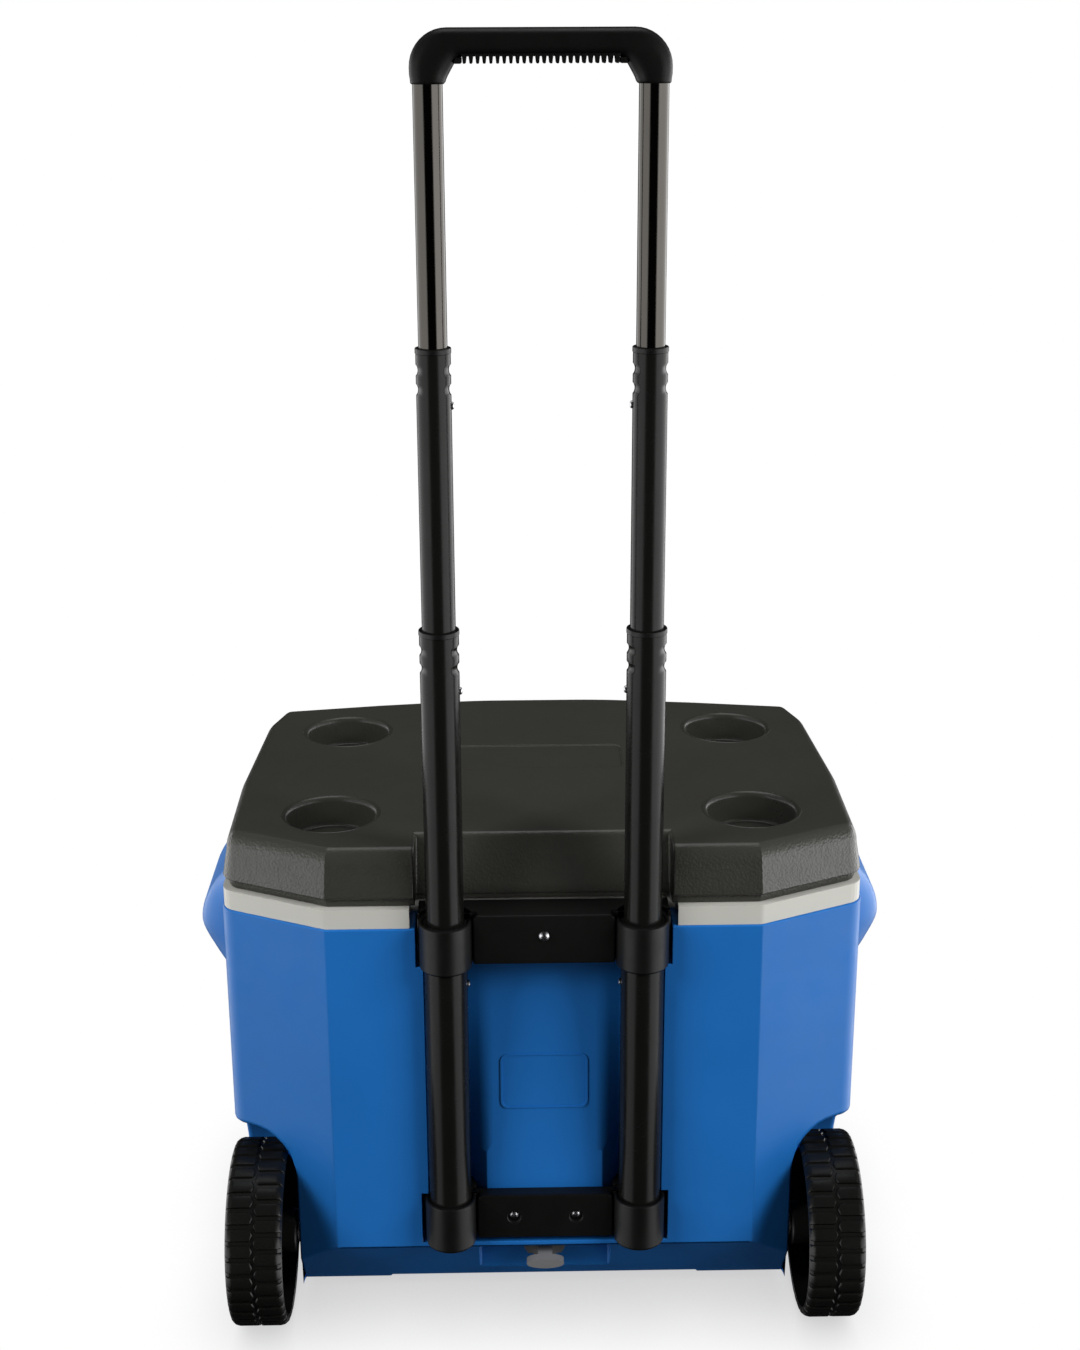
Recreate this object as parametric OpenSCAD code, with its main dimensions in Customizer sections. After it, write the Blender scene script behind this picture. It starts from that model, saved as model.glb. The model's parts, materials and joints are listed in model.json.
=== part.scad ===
// Wheeled cooler with a telescoping pull handle, a hinged lid with can holders and a drain plug.
// Frame: +Z up, X across the cooler, the handle side faces -Y.
// Origin: centre of the footprint's box, on the floor. All sizes are in millimetres.
// Inside the modules y = 0 is the flat back face of the body, and place() moves it into the frame.

/* [Body] */
// Half of the width across the side walls
body_half_w = 260;   // [252:0.5:265]
// Depth from the back face to the front wall
body_d = 358; // [340:1:380]
// Height of the underside above the floor
body_floor_z = 18; // [15:1:22]
// Height of the coloured shell's top edge
shell_top_z = 368.4; // [355:0.1:375]
// Thickness of the outer shell and of the inner liner
skin = 3; // [2.5:0.5:3.5]
// Thickness of the whole insulated wall
wall = 28; // [26:1:30]
// Half of the width of the channel for the handle tubes
recess_half_w = 101.7; // [101:0.1:105]
// Depth of that channel
recess_d = 30; // [29:1:32]

/* [Lid] */
// Height of the lid's underside
lid_z = 385.3; // [385.3:0.1:390]
// Thickness of the lid
lid_t = 48; // [46:0.1:52]
// Radius of each can holder
can_r = 36.8; // [34:0.1:38]
// Depth of each can holder
can_depth = 25; // [20:1:26]

/* [Wheels] */
// Radius of the wheels
wheel_r = 77; // [74:0.5:78]
// Distance of the axle from the back face
wheel_y = 28; // [26:1:32]
// Distance from the middle to a wheel's inner face
wheel_in_x = 214.6; // [213:0.1:216]
// Width of the tread
wheel_w = 46.4; // [44:0.1:48]

/* [Handle] */
// Half of the distance between the two rows of tubes
tube_x = 78; // [77:0.5:78.5]
// Outer diameter of the thinnest tube
tube_d = 21; // [20.5:0.5:21]
// Step in diameter from each tube to the next
tube_step = 4.5; // [4.4:0.1:4.6]
// Wall of every tube
tube_wall = 1.2; // [1:0.1:1.3]
// Top of the grip
grip_top_z = 1043.7; // [1040:0.1:1050]

/* [Hidden] */
$fn = 48;
slack = 0.3;         // gap between pieces that move past each other
shaft_gap = 0.1;     // radial gap of a sliding or turning fit

foam_gap = 0.2;
liner_top_z = lid_z - slack;
lid_top_z = lid_z + lid_t;
tube_r = tube_d / 2;
function tube_radius(stage) = tube_r + (3 - stage) * tube_step / 2;   // stage 0 is fixed, 3 is the thinnest
function bore_radius(stage) = tube_radius(stage) - tube_wall;

bow_d = 20;          // the lid's front bows out over the hinge by this much
lid_edge = 2;        // the lid's walls stand in from the body's by this much
place_y = -(body_d + bow_d - lid_edge + wheel_y - wheel_r) / 2;

// Heights on the handle, fully drawn out
button_z = [0, 320.7, 566.6, 784.1];         // lock button of each stage, in the stage outside it
collar_z = [375.7, 615.5, 826.2];            // top of the collar on stages 0, 1 and 2
collar_h = 4;
insert_h = 30;
tube_below_button = 9.6;
plug_h = 4;                                   // end plug under each tube
grip_bottom_z = 1006.7;
tube_top_in_grip_z = 1016;
outer_tube_z = [85, 373];

// Body corner points, from the back to the front on the +X side: x, y, corner radius
side_half = [[173, 0, 12], [body_half_w, 43, 18], [body_half_w, 165, 150], [body_half_w - 5, body_d - 52, 60]];
plan_half = concat(side_half, [[body_half_w - 17, body_d - 12, 18], [140, body_d, 120]]);
lid_half = [[173, 0, 12], [body_half_w, 43, 18], [body_half_w + 1.5, 165, 150], [body_half_w - 5.5, body_d - 52, 60],
            [body_half_w - 18, body_d - 8, 18], [150, body_d + 8, 500], [60, body_d + bow_d, 400]];
// Side view of the body: y, z, corner radius
side = [[44, body_floor_z, 3], [body_d - 18, body_floor_z, 12], [body_d, body_floor_z + 22, 12],
        [body_d, 900, 0], [0, 900, 0], [0, 77.6, 3]];
// Raised panel in the handle channel, in side view
panel_half_w = 53;
panel = [[150, 20, 0], [150, 358, 0], [recess_d, 358, 0], [11, 128, 0], [9, 20, 0]];

foot_x = 206.5;                               // wall beside each wheel
well_r = wheel_r + 19;
channel_floor_z = 81;
drain_z = 63.3;
drain_wall_y = 31;
drain_half_w = 55;
drain_roof_z = 75.5;

axle_r = 5;
axle_boss_r = 11;
hub_r = 18;
bush_r = 8;
axle_in_x = 184;                              // inner end of the stub axles, within the wall
hub_in_x = wheel_in_x - 6;
hub_out_x = wheel_in_x + wheel_w - 9;

upper_z = [338.5, 380.3];
upper_collar_z = 336.2;
lower_z = [86.8, 126.9];
lower_collar_z = [83, 125.5];
bracket_y = -3;
bracket_half_w = 57;
collar_r = 20.9;
screw_r = 2;
upper_screw_z = 362.9;
lower_screw = [25.7, 106.2];

hinge_y = body_d + 9;
hinge_z = lid_z - 8;
hinge_r = 6.5;
hinge_pin_r = 2.5;
lid_knuckles = [[-58, -38.5], [-11.5, 11.5], [38.5, 58]];
base_knuckles = [[-38, -12], [12, 38]];

can_x = 172.3;
can_y = [84, 281];

black = [0.06, 0.06, 0.065];
blue = [0.16, 0.42, 0.78];
white = [0.9, 0.9, 0.88];
charcoal = [0.22, 0.22, 0.21];
steel = [0.75, 0.76, 0.78];
grey = [0.5, 0.5, 0.52];
foam = [0.93, 0.88, 0.72];

// ---------- helpers ----------

function unit(v) = v / norm(v);
function xy(p) = [p.x, p.y];
function inward(a, b) = let (d = unit(b - a)) [-d.y, d.x];

// A counter-clockwise outline moved inwards by e; each point is x, y and a corner radius
function inset(outline, e) = [for (i = [0:len(outline) - 1])
    let (n = len(outline), a = xy(outline[(i + n - 1) % n]), b = xy(outline[i]), c = xy(outline[(i + 1) % n]),
         n1 = inward(a, b), n2 = inward(b, c), q = b + e * (n1 + n2) / (1 + n1 * n2), r = outline[i].z)
    [q.x, q.y, r == 0 ? 0 : cross(b - a, c - b) > 0 ? max(r - e, 1) : r + e]];

function fillet(a, b, c, r, steps) =
    let (u = unit(a - b), v = unit(c - b), half = acos(u * v) / 2,
         o = b + unit(u + v) * r / sin(half), s = b + u * r / tan(half) - o, e = b + v * r / tan(half) - o,
         a0 = atan2(s.y, s.x), turn = (atan2(e.y, e.x) - a0 + 540) % 360 - 180)
    [for (i = [0:steps]) o + r * [cos(a0 + turn * i / steps), sin(a0 + turn * i / steps)]];

function rounded(outline, steps = 5) = [for (i = [0:len(outline) - 1])
    let (n = len(outline), a = xy(outline[(i + n - 1) % n]), b = xy(outline[i]), c = xy(outline[(i + 1) % n]))
    each outline[i].z > 0 ? fillet(a, b, c, outline[i].z, steps) : [b]];

function both_sides(half) = concat(half, [for (i = [len(half) - 1:-1:0]) [-half[i].x, half[i].y, half[i].z]]);

module place() { translate([0, place_y, 0]) children(); }

module left_right() {
    children();
    mirror([1, 0, 0]) children();
}

module on_left() { mirror([1, 0, 0]) children(); }

// A slab of a plan outline between two heights
module plan_slab(outline, e, z0, z1) {
    translate([0, 0, z0]) linear_extrude(z1 - z0) polygon(rounded(inset(outline, e)));
}

// An outline in the Y-Z plane, drawn across x0 to x1
module across(outline, x0, x1) {
    translate([x0, 0, 0]) rotate([90, 0, 90]) linear_extrude(x1 - x0) polygon(outline);
}

// An outline in the X-Z plane, drawn from y0 to y1
module along(outline, y0, y1) {
    translate([0, y1, 0]) rotate([90, 0, 0]) linear_extrude(y1 - y0) polygon(outline);
}

module box(x0, x1, y0, y1, z0, z1) { translate([x0, y0, z0]) cube([x1 - x0, y1 - y0, z1 - z0]); }
module rod_x(r, x0, x1, y, z) { translate([x0, y, z]) rotate([0, 90, 0]) cylinder(r = r, h = x1 - x0); }
module rod_y(r, y0, y1, x, z) { translate([x, y1, z]) rotate([90, 0, 0]) cylinder(r = r, h = y1 - y0); }
module rod_z(r, z0, z1, x = tube_x) { translate([x, 0, z0]) cylinder(r = r, h = z1 - z0); }

module pipe_z(r_out, r_in, z0, z1, x = tube_x) {
    difference() {
        rod_z(r_out, z0, z1, x);
        rod_z(r_in, z0 - 1, z1 + 1, x);
    }
}

// ---------- body ----------

body_plan = both_sides(plan_half);

// Room for the handle tubes, with the raised middle panel left in. It is wider at the brackets than between them.
module channel(e, with_panel) {
    mid_half_w = with_panel ? tube_x + tube_radius(0) + 0.6 : recess_half_w;
    difference() {
        union() {
            box(-mid_half_w - e, mid_half_w + e, -60, recess_d + e, channel_floor_z - e, 900);
            box(-recess_half_w - e, recess_half_w + e, -60, recess_d + e, channel_floor_z - e, lower_z[1] + 1 + e);
            box(-recess_half_w - e, recess_half_w + e, -60, recess_d + e, upper_collar_z - 1 - e, 900);
        }
        if (with_panel) across(rounded(inset(panel, e)), -panel_half_w + e, panel_half_w - e);
    }
}

module drain_pocket(e) { box(-drain_half_w - e, drain_half_w + e, -60, drain_wall_y + e, -60, drain_roof_z + e); }

module wheel_wells(e) {
    left_right() {
        rod_x(well_r + e, foot_x - e, 400, wheel_y, wheel_r);
        box(foot_x - e, 400, -60, wheel_y + well_r + e, -60, wheel_r);
    }
}

// The body's outer form, every wall moved inwards by e
module body_form(e, top_z, with_panel = true) {
    difference() {
        intersection() {
            plan_slab(body_plan, e, 0, top_z);
            across(rounded(inset(side, e)), -400, 400);
        }
        channel(e, with_panel);
        drain_pocket(e);
        wheel_wells(e);
    }
}

module liner_form(e, top_z) { body_form(e, top_z, false); }

// Carry handle moulded on each side wall, open from below for the fingers
ear_z = 316;                                   // height of its widest line
ear_half_w = 291;
ear_outline = [[body_half_w - 3, shell_top_z], [body_half_w + 3.3, shell_top_z], [270.8, ear_z + 48], [277.4, ear_z + 40],
               [283.4, ear_z + 30], [287.6, ear_z + 20], [290.2, ear_z + 10], [ear_half_w, ear_z],
               [288.5, ear_z - 8], [282.3, ear_z - 20], [276.7, ear_z - 29], [268.9, ear_z - 40],
               [body_half_w, ear_z - 52], [body_half_w - 3, ear_z - 52]];
ear_pocket = [[body_half_w, ear_z - 66], [298, ear_z - 66], [298, ear_z - 24], [276, ear_z - 24],
              [279.5, ear_z - 16], [282.5, ear_z - 8], [279.5, ear_z - 3], [body_half_w, ear_z - 2]];
ear_y = [105, 255];
ear_slope = 24;

module ear() {
    difference() {
        intersection() {
            along(ear_outline, ear_y[0], ear_y[1]);
            linear_extrude(500) polygon([[body_half_w - 8, ear_y[0]], [body_half_w, ear_y[0]], [ear_half_w + 1, ear_y[0] + ear_slope],
                                         [ear_half_w + 1, ear_y[1] - ear_slope], [body_half_w, ear_y[1]], [body_half_w - 8, ear_y[1]]]);
        }
        along(ear_pocket, ear_y[0] + 32, ear_y[1] - 32);
    }
}

module axle_boss(r) { rod_x(r, axle_in_x - 2, foot_x - 1, wheel_y, wheel_r); }

module front_feet() { left_right() box(150, 205, body_d - 72, body_d - 22, 0, body_floor_z + 1); }

module body_shell() {
    color(blue) place() difference() {
        union() {
            difference() {
                body_form(0, shell_top_z);
                body_form(skin, shell_top_z + 60);
            }
            left_right() {
                ear();
                axle_boss(axle_boss_r);
            }
            front_feet();
        }
        left_right() rod_x(axle_r, axle_in_x, foot_x + 5, wheel_y, wheel_r);
        rod_y(9.5, drain_wall_y - 5, drain_wall_y + 5, 0, drain_z);
        rod_y(screw_r, recess_d - 5, recess_d + 5, 0, upper_screw_z);
        left_right() rod_y(screw_r, 5, 20, lower_screw.x, lower_screw.y);
        hinge_screw_holes(screw_r, 8);
    }
}

module body_insulation() {
    color(foam) place() difference() {
        body_form(skin + foam_gap, shell_top_z - foam_gap);
        liner_form(wall - skin - foam_gap, shell_top_z + 60);
        left_right() axle_boss(axle_boss_r + foam_gap);
        rod_y(9.7, drain_wall_y, drain_wall_y + wall, 0, drain_z);
        rod_y(screw_r + foam_gap, recess_d, recess_d + 12, 0, upper_screw_z);
        left_right() rod_y(screw_r + foam_gap, 5, 24, lower_screw.x, lower_screw.y);
        hinge_screw_holes(screw_r + foam_gap, 16);
    }
}

module inner_liner() {
    flange_in = 1.5;
    color(white) place() difference() {
        union() {
            liner_form(wall - skin, liner_top_z - 1);
            difference() {
                plan_slab(body_plan, flange_in, shell_top_z + foam_gap, liner_top_z);
                plan_slab(body_plan, flange_in + skin, shell_top_z, liner_top_z - skin);
                box(-recess_half_w - 4.5, recess_half_w + 4.5, -60, recess_d + 4.5, 300, 500);
            }
            difference() {
                box(-recess_half_w - 7.5, recess_half_w + 7.5, recess_d + 1.5, recess_d + 7.5,
                    shell_top_z + foam_gap, liner_top_z);
                box(-recess_half_w - 4.5, recess_half_w + 4.5, recess_d, recess_d + 4.5, 300, 500);
            }
        }
        liner_form(wall, liner_top_z + 60);
        rod_y(9.5, drain_wall_y + wall - skin - 5, drain_wall_y + wall + 5, 0, drain_z);
    }
}

// ---------- drain ----------

spout_r = [7, 9.5];

module drain_spout() {
    inner_y = drain_wall_y + wall;
    color(grey) place() difference() {
        union() {
            rod_y(spout_r[1], 22, inner_y + 2.5, 0, drain_z);
            rod_y(15, inner_y, inner_y + 2.5, 0, drain_z);
        }
        rod_y(spout_r[0], 20, inner_y + 4, 0, drain_z);
    }
}

module ring_y(r_out, r_in, y0, y1) {
    difference() {
        rod_y(r_out, y0, y1, 0, drain_z);
        rod_y(r_in, y0 - 1, y1 + 1, 0, drain_z);
    }
}

// A round nut with its top and bottom cut flat, so that it fits under the pocket's roof
module drain_nut() {
    nut_half_h = 11.5;
    color(grey) place() intersection() {
        ring_y(18, spout_r[1], 25, drain_wall_y - 1.2);
        box(-30, 30, 20, 40, drain_z - nut_half_h, drain_z + nut_half_h);
    }
}

module drain_washer() { color(black) place() ring_y(11.5, spout_r[1], drain_wall_y - 1.2, drain_wall_y); }

ring_y0 = 34;

module drain_plug() {
    stem_r = spout_r[0] - shaft_gap;
    color(grey) place() difference() {
        union() {
            rod_y(stem_r, 18, 47, 0, drain_z);
            rod_y(11.5, 17, 21.7, 0, drain_z);
            box(-6, 6, -5, 18, drain_z - 3, drain_z + 3);
            along([for (i = [0:31]) [15.5 * cos(i * 11.25), drain_z + 4.6 * sin(i * 11.25)]], -6.5, 1.5);
        }
        ring_y(stem_r + 1, stem_r - 1, ring_y0, ring_y0 + 2);
    }
}

module drain_plug_ring() { color(black) place() ring_y(spout_r[0] - 0.02, spout_r[0] - shaft_gap - 1, ring_y0, ring_y0 + 2); }

// ---------- brackets ----------

module bracket(block_z, collar_z0, collar_z1, block_y1, side_y0) {
    difference() {
        union() {
            box(-bracket_half_w - 3, bracket_half_w + 3, bracket_y, block_y1, block_z[0], block_z[1]);
            left_right() difference() {
                box(bracket_half_w, recess_half_w - 2, side_y0, recess_d - slack, block_z[0], block_z[1]);
                rod_z(collar_r, collar_z1, block_z[1] + 1);
            }
            left_right() rod_z(collar_r, collar_z0, collar_z1);
        }
        left_right() rod_z(collar_r, collar_z1, block_z[1] + 5);
    }
}

module upper_bracket() {
    color(black) place() difference() {
        bracket(upper_z, upper_collar_z, collar_z[0], recess_d - 2, 3);
        left_right() rod_z(tube_radius(0), 300, 400);
        rod_y(screw_r + 0.1, bracket_y - 1, recess_d, 0, upper_screw_z);
    }
}

module lower_bracket() {
    head_depth = 5;
    color(black) place() difference() {
        bracket(lower_z, lower_collar_z[0], lower_collar_z[1], 9.8, 12);
        left_right() {
            rod_z(tube_radius(0), outer_tube_z[0], 200);
            rod_y(screw_r + 0.1, bracket_y - 1, 20, lower_screw.x, lower_screw.y);
            rod_y(4.8, bracket_y - 1, bracket_y + head_depth, lower_screw.x, lower_screw.y);
        }
    }
}

module pan_screw(x, z, y_head, length) {
    rod_y(4.2, y_head - 2.6, y_head, x, z);
    rod_y(screw_r, y_head - 0.5, y_head + length, x, z);
}

module upper_bracket_screw() { color(steel) place() pan_screw(0, upper_screw_z, bracket_y, 44); }
module lower_bracket_screws() {
    color(steel) place() left_right() pan_screw(lower_screw.x, lower_screw.y, bracket_y + 5, 20);
}

// ---------- fixed tubes ----------

module button_hole(stage) { rod_x(3.2, 0, tube_x, 0, button_z[stage]); }

module tube(stage, z0, z1) {
    difference() {
        pipe_z(tube_radius(stage), bore_radius(stage), z0, z1);
        if (stage < 3) button_hole(stage + 1);
        if (stage > 0) button_hole(stage);
        if (stage == 3) rod_y(grip_head_r + shaft_gap, -tube_x, 0, tube_x, grip_screw_z);
    }
}

module outer_tube() { tube(0, outer_tube_z[0], outer_tube_z[1]); }
module outer_tube_left() { color(black) place() on_left() outer_tube(); }
module outer_tube_right() { color(black) place() outer_tube(); }

module outer_tube_bushes() {
    color(black) place() left_right() {
        pipe_z(bore_radius(0), tube_radius(1) + shaft_gap, outer_tube_z[1] - insert_h, outer_tube_z[1]);
        pipe_z(tube_radius(0), tube_radius(1) + shaft_gap, outer_tube_z[1], outer_tube_z[1] + 2);
    }
}

// ---------- moving stages ----------

module stage_tube(stage) {
    top = stage == 3 ? tube_top_in_grip_z : collar_z[stage] - collar_h;
    tube(stage, button_z[stage] - tube_below_button, top);
}

module stage_collars(stage) {
    top = collar_z[stage];
    bore = tube_radius(stage + 1) + shaft_gap;
    left_right() {
        pipe_z(tube_radius(stage) + 0.4, bore, top - collar_h, top);
        pipe_z(bore_radius(stage), bore, top - collar_h - insert_h, top - collar_h);
    }
}

module stage_end_plugs(stage) {
    z = button_z[stage] - tube_below_button;
    left_right() {
        rod_z(bore_radius(stage - 1) - shaft_gap, z - plug_h, z);
        rod_z(bore_radius(stage), z, z + 2.5);
    }
}

// Spring strip bent into a U inside the tube, with the button that pokes through both tubes
module stage_lock(stage) {
    z = button_z[stage];
    r = bore_radius(stage) - 0.3;
    strip = 0.7;
    bottom = z - 6.6;
    loop = [for (i = [0:12]) [tube_x - r * cos(i * 15), bottom + 3 - 3 * sin(i * 15)]];
    inner_loop = [for (i = [12:-1:0]) [tube_x - (r - strip) * cos(i * 15), bottom + 3 - (3 - strip) * sin(i * 15)]];
    intersection() {
        along(concat([[tube_x - r, z + 5]], loop, [[tube_x + r, z + 5]], [[tube_x + r - strip, z + 5]],
                     inner_loop, [[tube_x - r + strip, z + 5]]), -3, 3);
        rod_z(r, bottom - 1, z + 6);
    }
    rod_x(2.9, tube_x - tube_radius(stage - 1) - 1.9, tube_x - r + strip, 0, z);
}

module stage_1_tube_left() { color(black) place() on_left() stage_tube(1); }
module stage_1_tube_right() { color(black) place() stage_tube(1); }
module stage_1_collars() { color(black) place() stage_collars(1); }
module stage_1_end_plugs() { color(black) place() stage_end_plugs(1); }
module stage_1_lock_left() { color(steel) place() on_left() stage_lock(1); }
module stage_1_lock_right() { color(steel) place() stage_lock(1); }
module stage_2_tube_left() { color(black) place() on_left() stage_tube(2); }
module stage_2_tube_right() { color(black) place() stage_tube(2); }
module stage_2_collars() { color(black) place() stage_collars(2); }
module stage_2_end_plugs() { color(black) place() stage_end_plugs(2); }
module stage_2_lock_left() { color(steel) place() on_left() stage_lock(2); }
module stage_2_lock_right() { color(steel) place() stage_lock(2); }
module stage_3_tube_left() { color(black) place() on_left() stage_tube(3); }
module stage_3_tube_right() { color(black) place() stage_tube(3); }
module stage_3_end_plugs() { color(black) place() stage_end_plugs(3); }
module stage_3_lock_left() { color(steel) place() on_left() stage_lock(3); }
module stage_3_lock_right() { color(steel) place() stage_lock(3); }

// ---------- grip ----------

grip_half_w = 90.5;
grip_half_t = 12.5;
rib_count = 24;
rib_pitch = 4.55;
rib_w = 2.2;
rib_root_z = 1024.6;
rib_tip_z = 1020;
grip_plug_z = 976;
grip_screw_z = 988.3;
grip_screw_r = 1.5;
grip_head_r = 2.2;
grip_screw_end_y = -4;

module grip() {
    half = [[62, rib_root_z, 6], [65.8, grip_bottom_z + 7, 4], [65.8, grip_bottom_z, 1.5],
            [89.6, grip_bottom_z, 1.5], [grip_half_w, grip_bottom_z + 8, 8], [grip_half_w, grip_top_z, 26]];
    color(black) place() difference() {
        union() {
            along(rounded(both_sides(half)), -grip_half_t, grip_half_t);
            for (i = [0:rib_count - 1])
                translate([(i - (rib_count - 1) / 2) * rib_pitch, 0, 0])
                    box(-rib_w / 2, rib_w / 2, -grip_half_t + 1, grip_half_t - 1, rib_tip_z, rib_root_z + 1);
        }
        left_right() rod_z(tube_radius(3), grip_bottom_z - 1, tube_top_in_grip_z);
    }
    color(black) place() left_right() difference() {
        rod_z(bore_radius(3), grip_plug_z, tube_top_in_grip_z + 1);
        rod_y(grip_screw_r, -tube_r, grip_screw_end_y, tube_x, grip_screw_z);
    }
}

// Flush screws: the heads sit in the tubes' walls, so that the tubes still slide
module grip_screws() {
    head_y = -tube_r + 0.3;
    color(black) place() left_right() {
        rod_y(grip_head_r, head_y, -bore_radius(3), tube_x, grip_screw_z);
        rod_y(grip_screw_r, head_y, grip_screw_end_y, tube_x, grip_screw_z);
    }
}

// ---------- wheels ----------

module wheel() {
    rim_t = 7;
    web_x = wheel_in_x + 20;
    out_x = wheel_in_x + wheel_w;
    // radius and distance from the middle, round the section
    section = [[bush_r, hub_in_x], [hub_r, hub_in_x], [hub_r, web_x], [wheel_r - rim_t, web_x],
               [wheel_r - rim_t, wheel_in_x], [wheel_r - 4, wheel_in_x], [wheel_r - 1, wheel_in_x + 2],
               [wheel_r, wheel_in_x + 6], [wheel_r, out_x - 6], [wheel_r - 1, out_x - 2], [wheel_r - 4, out_x],
               [wheel_r - rim_t, out_x], [wheel_r - rim_t, web_x + 5], [hub_r, web_x + 5], [hub_r, hub_out_x],
               [bush_r, hub_out_x]];
    translate([0, wheel_y, wheel_r]) rotate([0, 90, 0]) {
        rotate_extrude($fn = 96) polygon(section);
        for (spoke = [0:7]) rotate([0, 0, spoke * 45])
            translate([hub_r - 1, -2, web_x + 4]) cube([wheel_r - rim_t - hub_r + 2, 4, 14]);
    }
}

module wheel_bush() {
    translate([0, wheel_y, wheel_r]) rotate([0, 90, 0]) difference() {
        translate([0, 0, hub_in_x]) cylinder(r = bush_r, h = hub_out_x - hub_in_x);
        translate([0, 0, hub_in_x - 1]) cylinder(r = axle_r + shaft_gap, h = hub_out_x - hub_in_x + 2);
    }
}

module wheel_left() { color(black) place() on_left() wheel(); }
module wheel_right() { color(black) place() wheel(); }
module wheel_bush_left() { color(white) place() on_left() wheel_bush(); }
module wheel_bush_right() { color(white) place() wheel_bush(); }

module axle() { rod_x(axle_r, axle_in_x, hub_out_x + 5, wheel_y, wheel_r); }
module axle_left() { color(steel) place() on_left() axle(); }
module axle_right() { color(steel) place() axle(); }

module axle_washers() {
    color(steel) place() left_right() difference() {
        rod_x(10, foot_x, foot_x + 1.6, wheel_y, wheel_r);
        rod_x(axle_r, foot_x - 1, foot_x + 3, wheel_y, wheel_r);
    }
}

module axle_caps() {
    cap_x = hub_out_x + slack;
    color(steel) place() left_right() difference() {
        union() {
            rod_x(9, cap_x, cap_x + 2, wheel_y, wheel_r);
            rod_x(7, cap_x, cap_x + 6.5, wheel_y, wheel_r);
        }
        axle();
    }
}

// ---------- hinge ----------

base_z = [lid_z - 50, lid_z - 17.5];
hinge_screw_x = [-50, -25, 25, 50];
hinge_screw_z = lid_z - 43.5;

module hinge_screw_holes(r, depth) {
    for (x = hinge_screw_x) rod_y(r, body_d - depth, body_d + 10, x, hinge_screw_z);
}

module hinge_barrel(spans) { for (s = spans) rod_x(hinge_r, s[0], s[1], hinge_y, hinge_z); }
module hinge_bore() { rod_x(hinge_pin_r + 0.05, -70, 70, hinge_y, hinge_z); }

module hinge_base() {
    arm = [[body_d, base_z[0] + 12], [body_d + 3, base_z[0] + 12], [hinge_y + 1.5, hinge_z - 6.2],
           [hinge_y, hinge_z], [body_d + 2.8, hinge_z], [body_d, base_z[1]]];
    color(charcoal) place() difference() {
        union() {
            box(-60, 60, body_d, body_d + 3, base_z[0], base_z[1]);
            hinge_barrel(base_knuckles);
            for (s = base_knuckles) across(arm, s[0], s[1]);
        }
        hinge_bore();
        hinge_screw_holes(screw_r + 0.1, 0);
    }
}

module hinge_pin() { color(steel) place() rod_x(hinge_pin_r, -58, 58, hinge_y, hinge_z); }

module hinge_screws() {
    color(steel) place() for (x = hinge_screw_x) {
        rod_y(3.6, body_d + 3, body_d + 5, x, hinge_screw_z);
        rod_y(screw_r, body_d - 14, body_d + 3.5, x, hinge_screw_z);
    }
}

// ---------- lid ----------

lid_plan = inset(both_sides(lid_half), lid_edge);
lip_in = 5;
lip_z = lid_z + 8;
// Steps of the lid's leaning skirt and rounded shoulder: depth below the top, and how far the wall has moved in
lid_steps = [[lid_t - 8, 0], [14, 3.5], [5, 6.5], [0, 12]];
notch_lean = 11;
lid_notch = [[-60, 300, 0], [recess_d, 300, 0], [recess_d, lip_z, 0],
             [recess_d + notch_lean * (500 - lip_z) / (lid_t - 8), 500, 0], [-60, 500, 0]];

module lid_channel(e) { across(rounded(inset(lid_notch, -e)), -recess_half_w - e, recess_half_w + e); }

module can_holes(r, floor_z) {
    left_right() for (y = can_y) translate([can_x, y, floor_z]) cylinder(r = r, h = 200);
}

// The lid's room for insulation, in steps that follow its shoulder
module lid_core(e, z0) {
    plan_slab(lid_plan, lip_in + skin + e, z0, lid_top_z - lid_steps[1][0] - e);
    plan_slab(lid_plan, lid_steps[2][1] + skin + e, z0, lid_top_z - lid_steps[2][0] - skin - e);
    plan_slab(lid_plan, lid_steps[3][1] + skin + e, z0, lid_top_z - skin - e);
}

module lid_shell() {
    top = lid_top_z;
    color(charcoal) place() difference() {
        union() {
            difference() {
                union() {
                    plan_slab(lid_plan, lip_in, lid_z, lip_z + 1);
                    for (i = [0:2]) hull() {
                        plan_slab(lid_plan, lid_steps[i][1], top - lid_steps[i][0], top - lid_steps[i][0] + 0.01);
                        plan_slab(lid_plan, lid_steps[i + 1][1], top - lid_steps[i + 1][0] - 0.01,
                                  top - lid_steps[i + 1][0]);
                    }
                }
                difference() {
                    lid_core(0, lid_z - 1);
                    lid_channel(skin);
                    box(-84, 84, body_d - 14, body_d + 30, lid_z - 5, lip_z);
                    left_right() for (y = can_y)
                        translate([can_x, y, top - can_depth - skin]) cylinder(r = can_r + skin, h = 100);
                }
            }
            for (s = lid_knuckles) box(s[0], s[1], hinge_y - 6, hinge_y + 6, hinge_z, lid_z + 1);
            hinge_barrel(lid_knuckles);
            box(-recess_half_w, recess_half_w, recess_d, recess_d + skin, lid_z - 4.5, lid_z + 2);
        }
        lid_channel(0);
        can_holes(can_r, top - can_depth);
        box(-73, 73, 184, 240, top - 1, top + 5);
        hinge_bore();
    }
}

plug_in = wall + 2.5;
plug_z = lid_z - 22;

module plug_form(e, z0, z1) {
    difference() {
        plan_slab(body_plan, plug_in + e, z0, z1);
        lid_channel(plug_in + e);
    }
}

module lid_liner() {
    color(white) place() difference() {
        union() {
            difference() {
                plan_slab(lid_plan, lip_in + skin + slack, lid_z, lid_z + 2.5);
                lid_channel(skin + slack);
                box(-84.3, 84.3, body_d - 14.3, body_d + 30, 300, 500);
            }
            plug_form(0, plug_z, lid_z + 1);
        }
        plug_form(2.5, plug_z + 2.5, lid_z + 10);
    }
}

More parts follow.
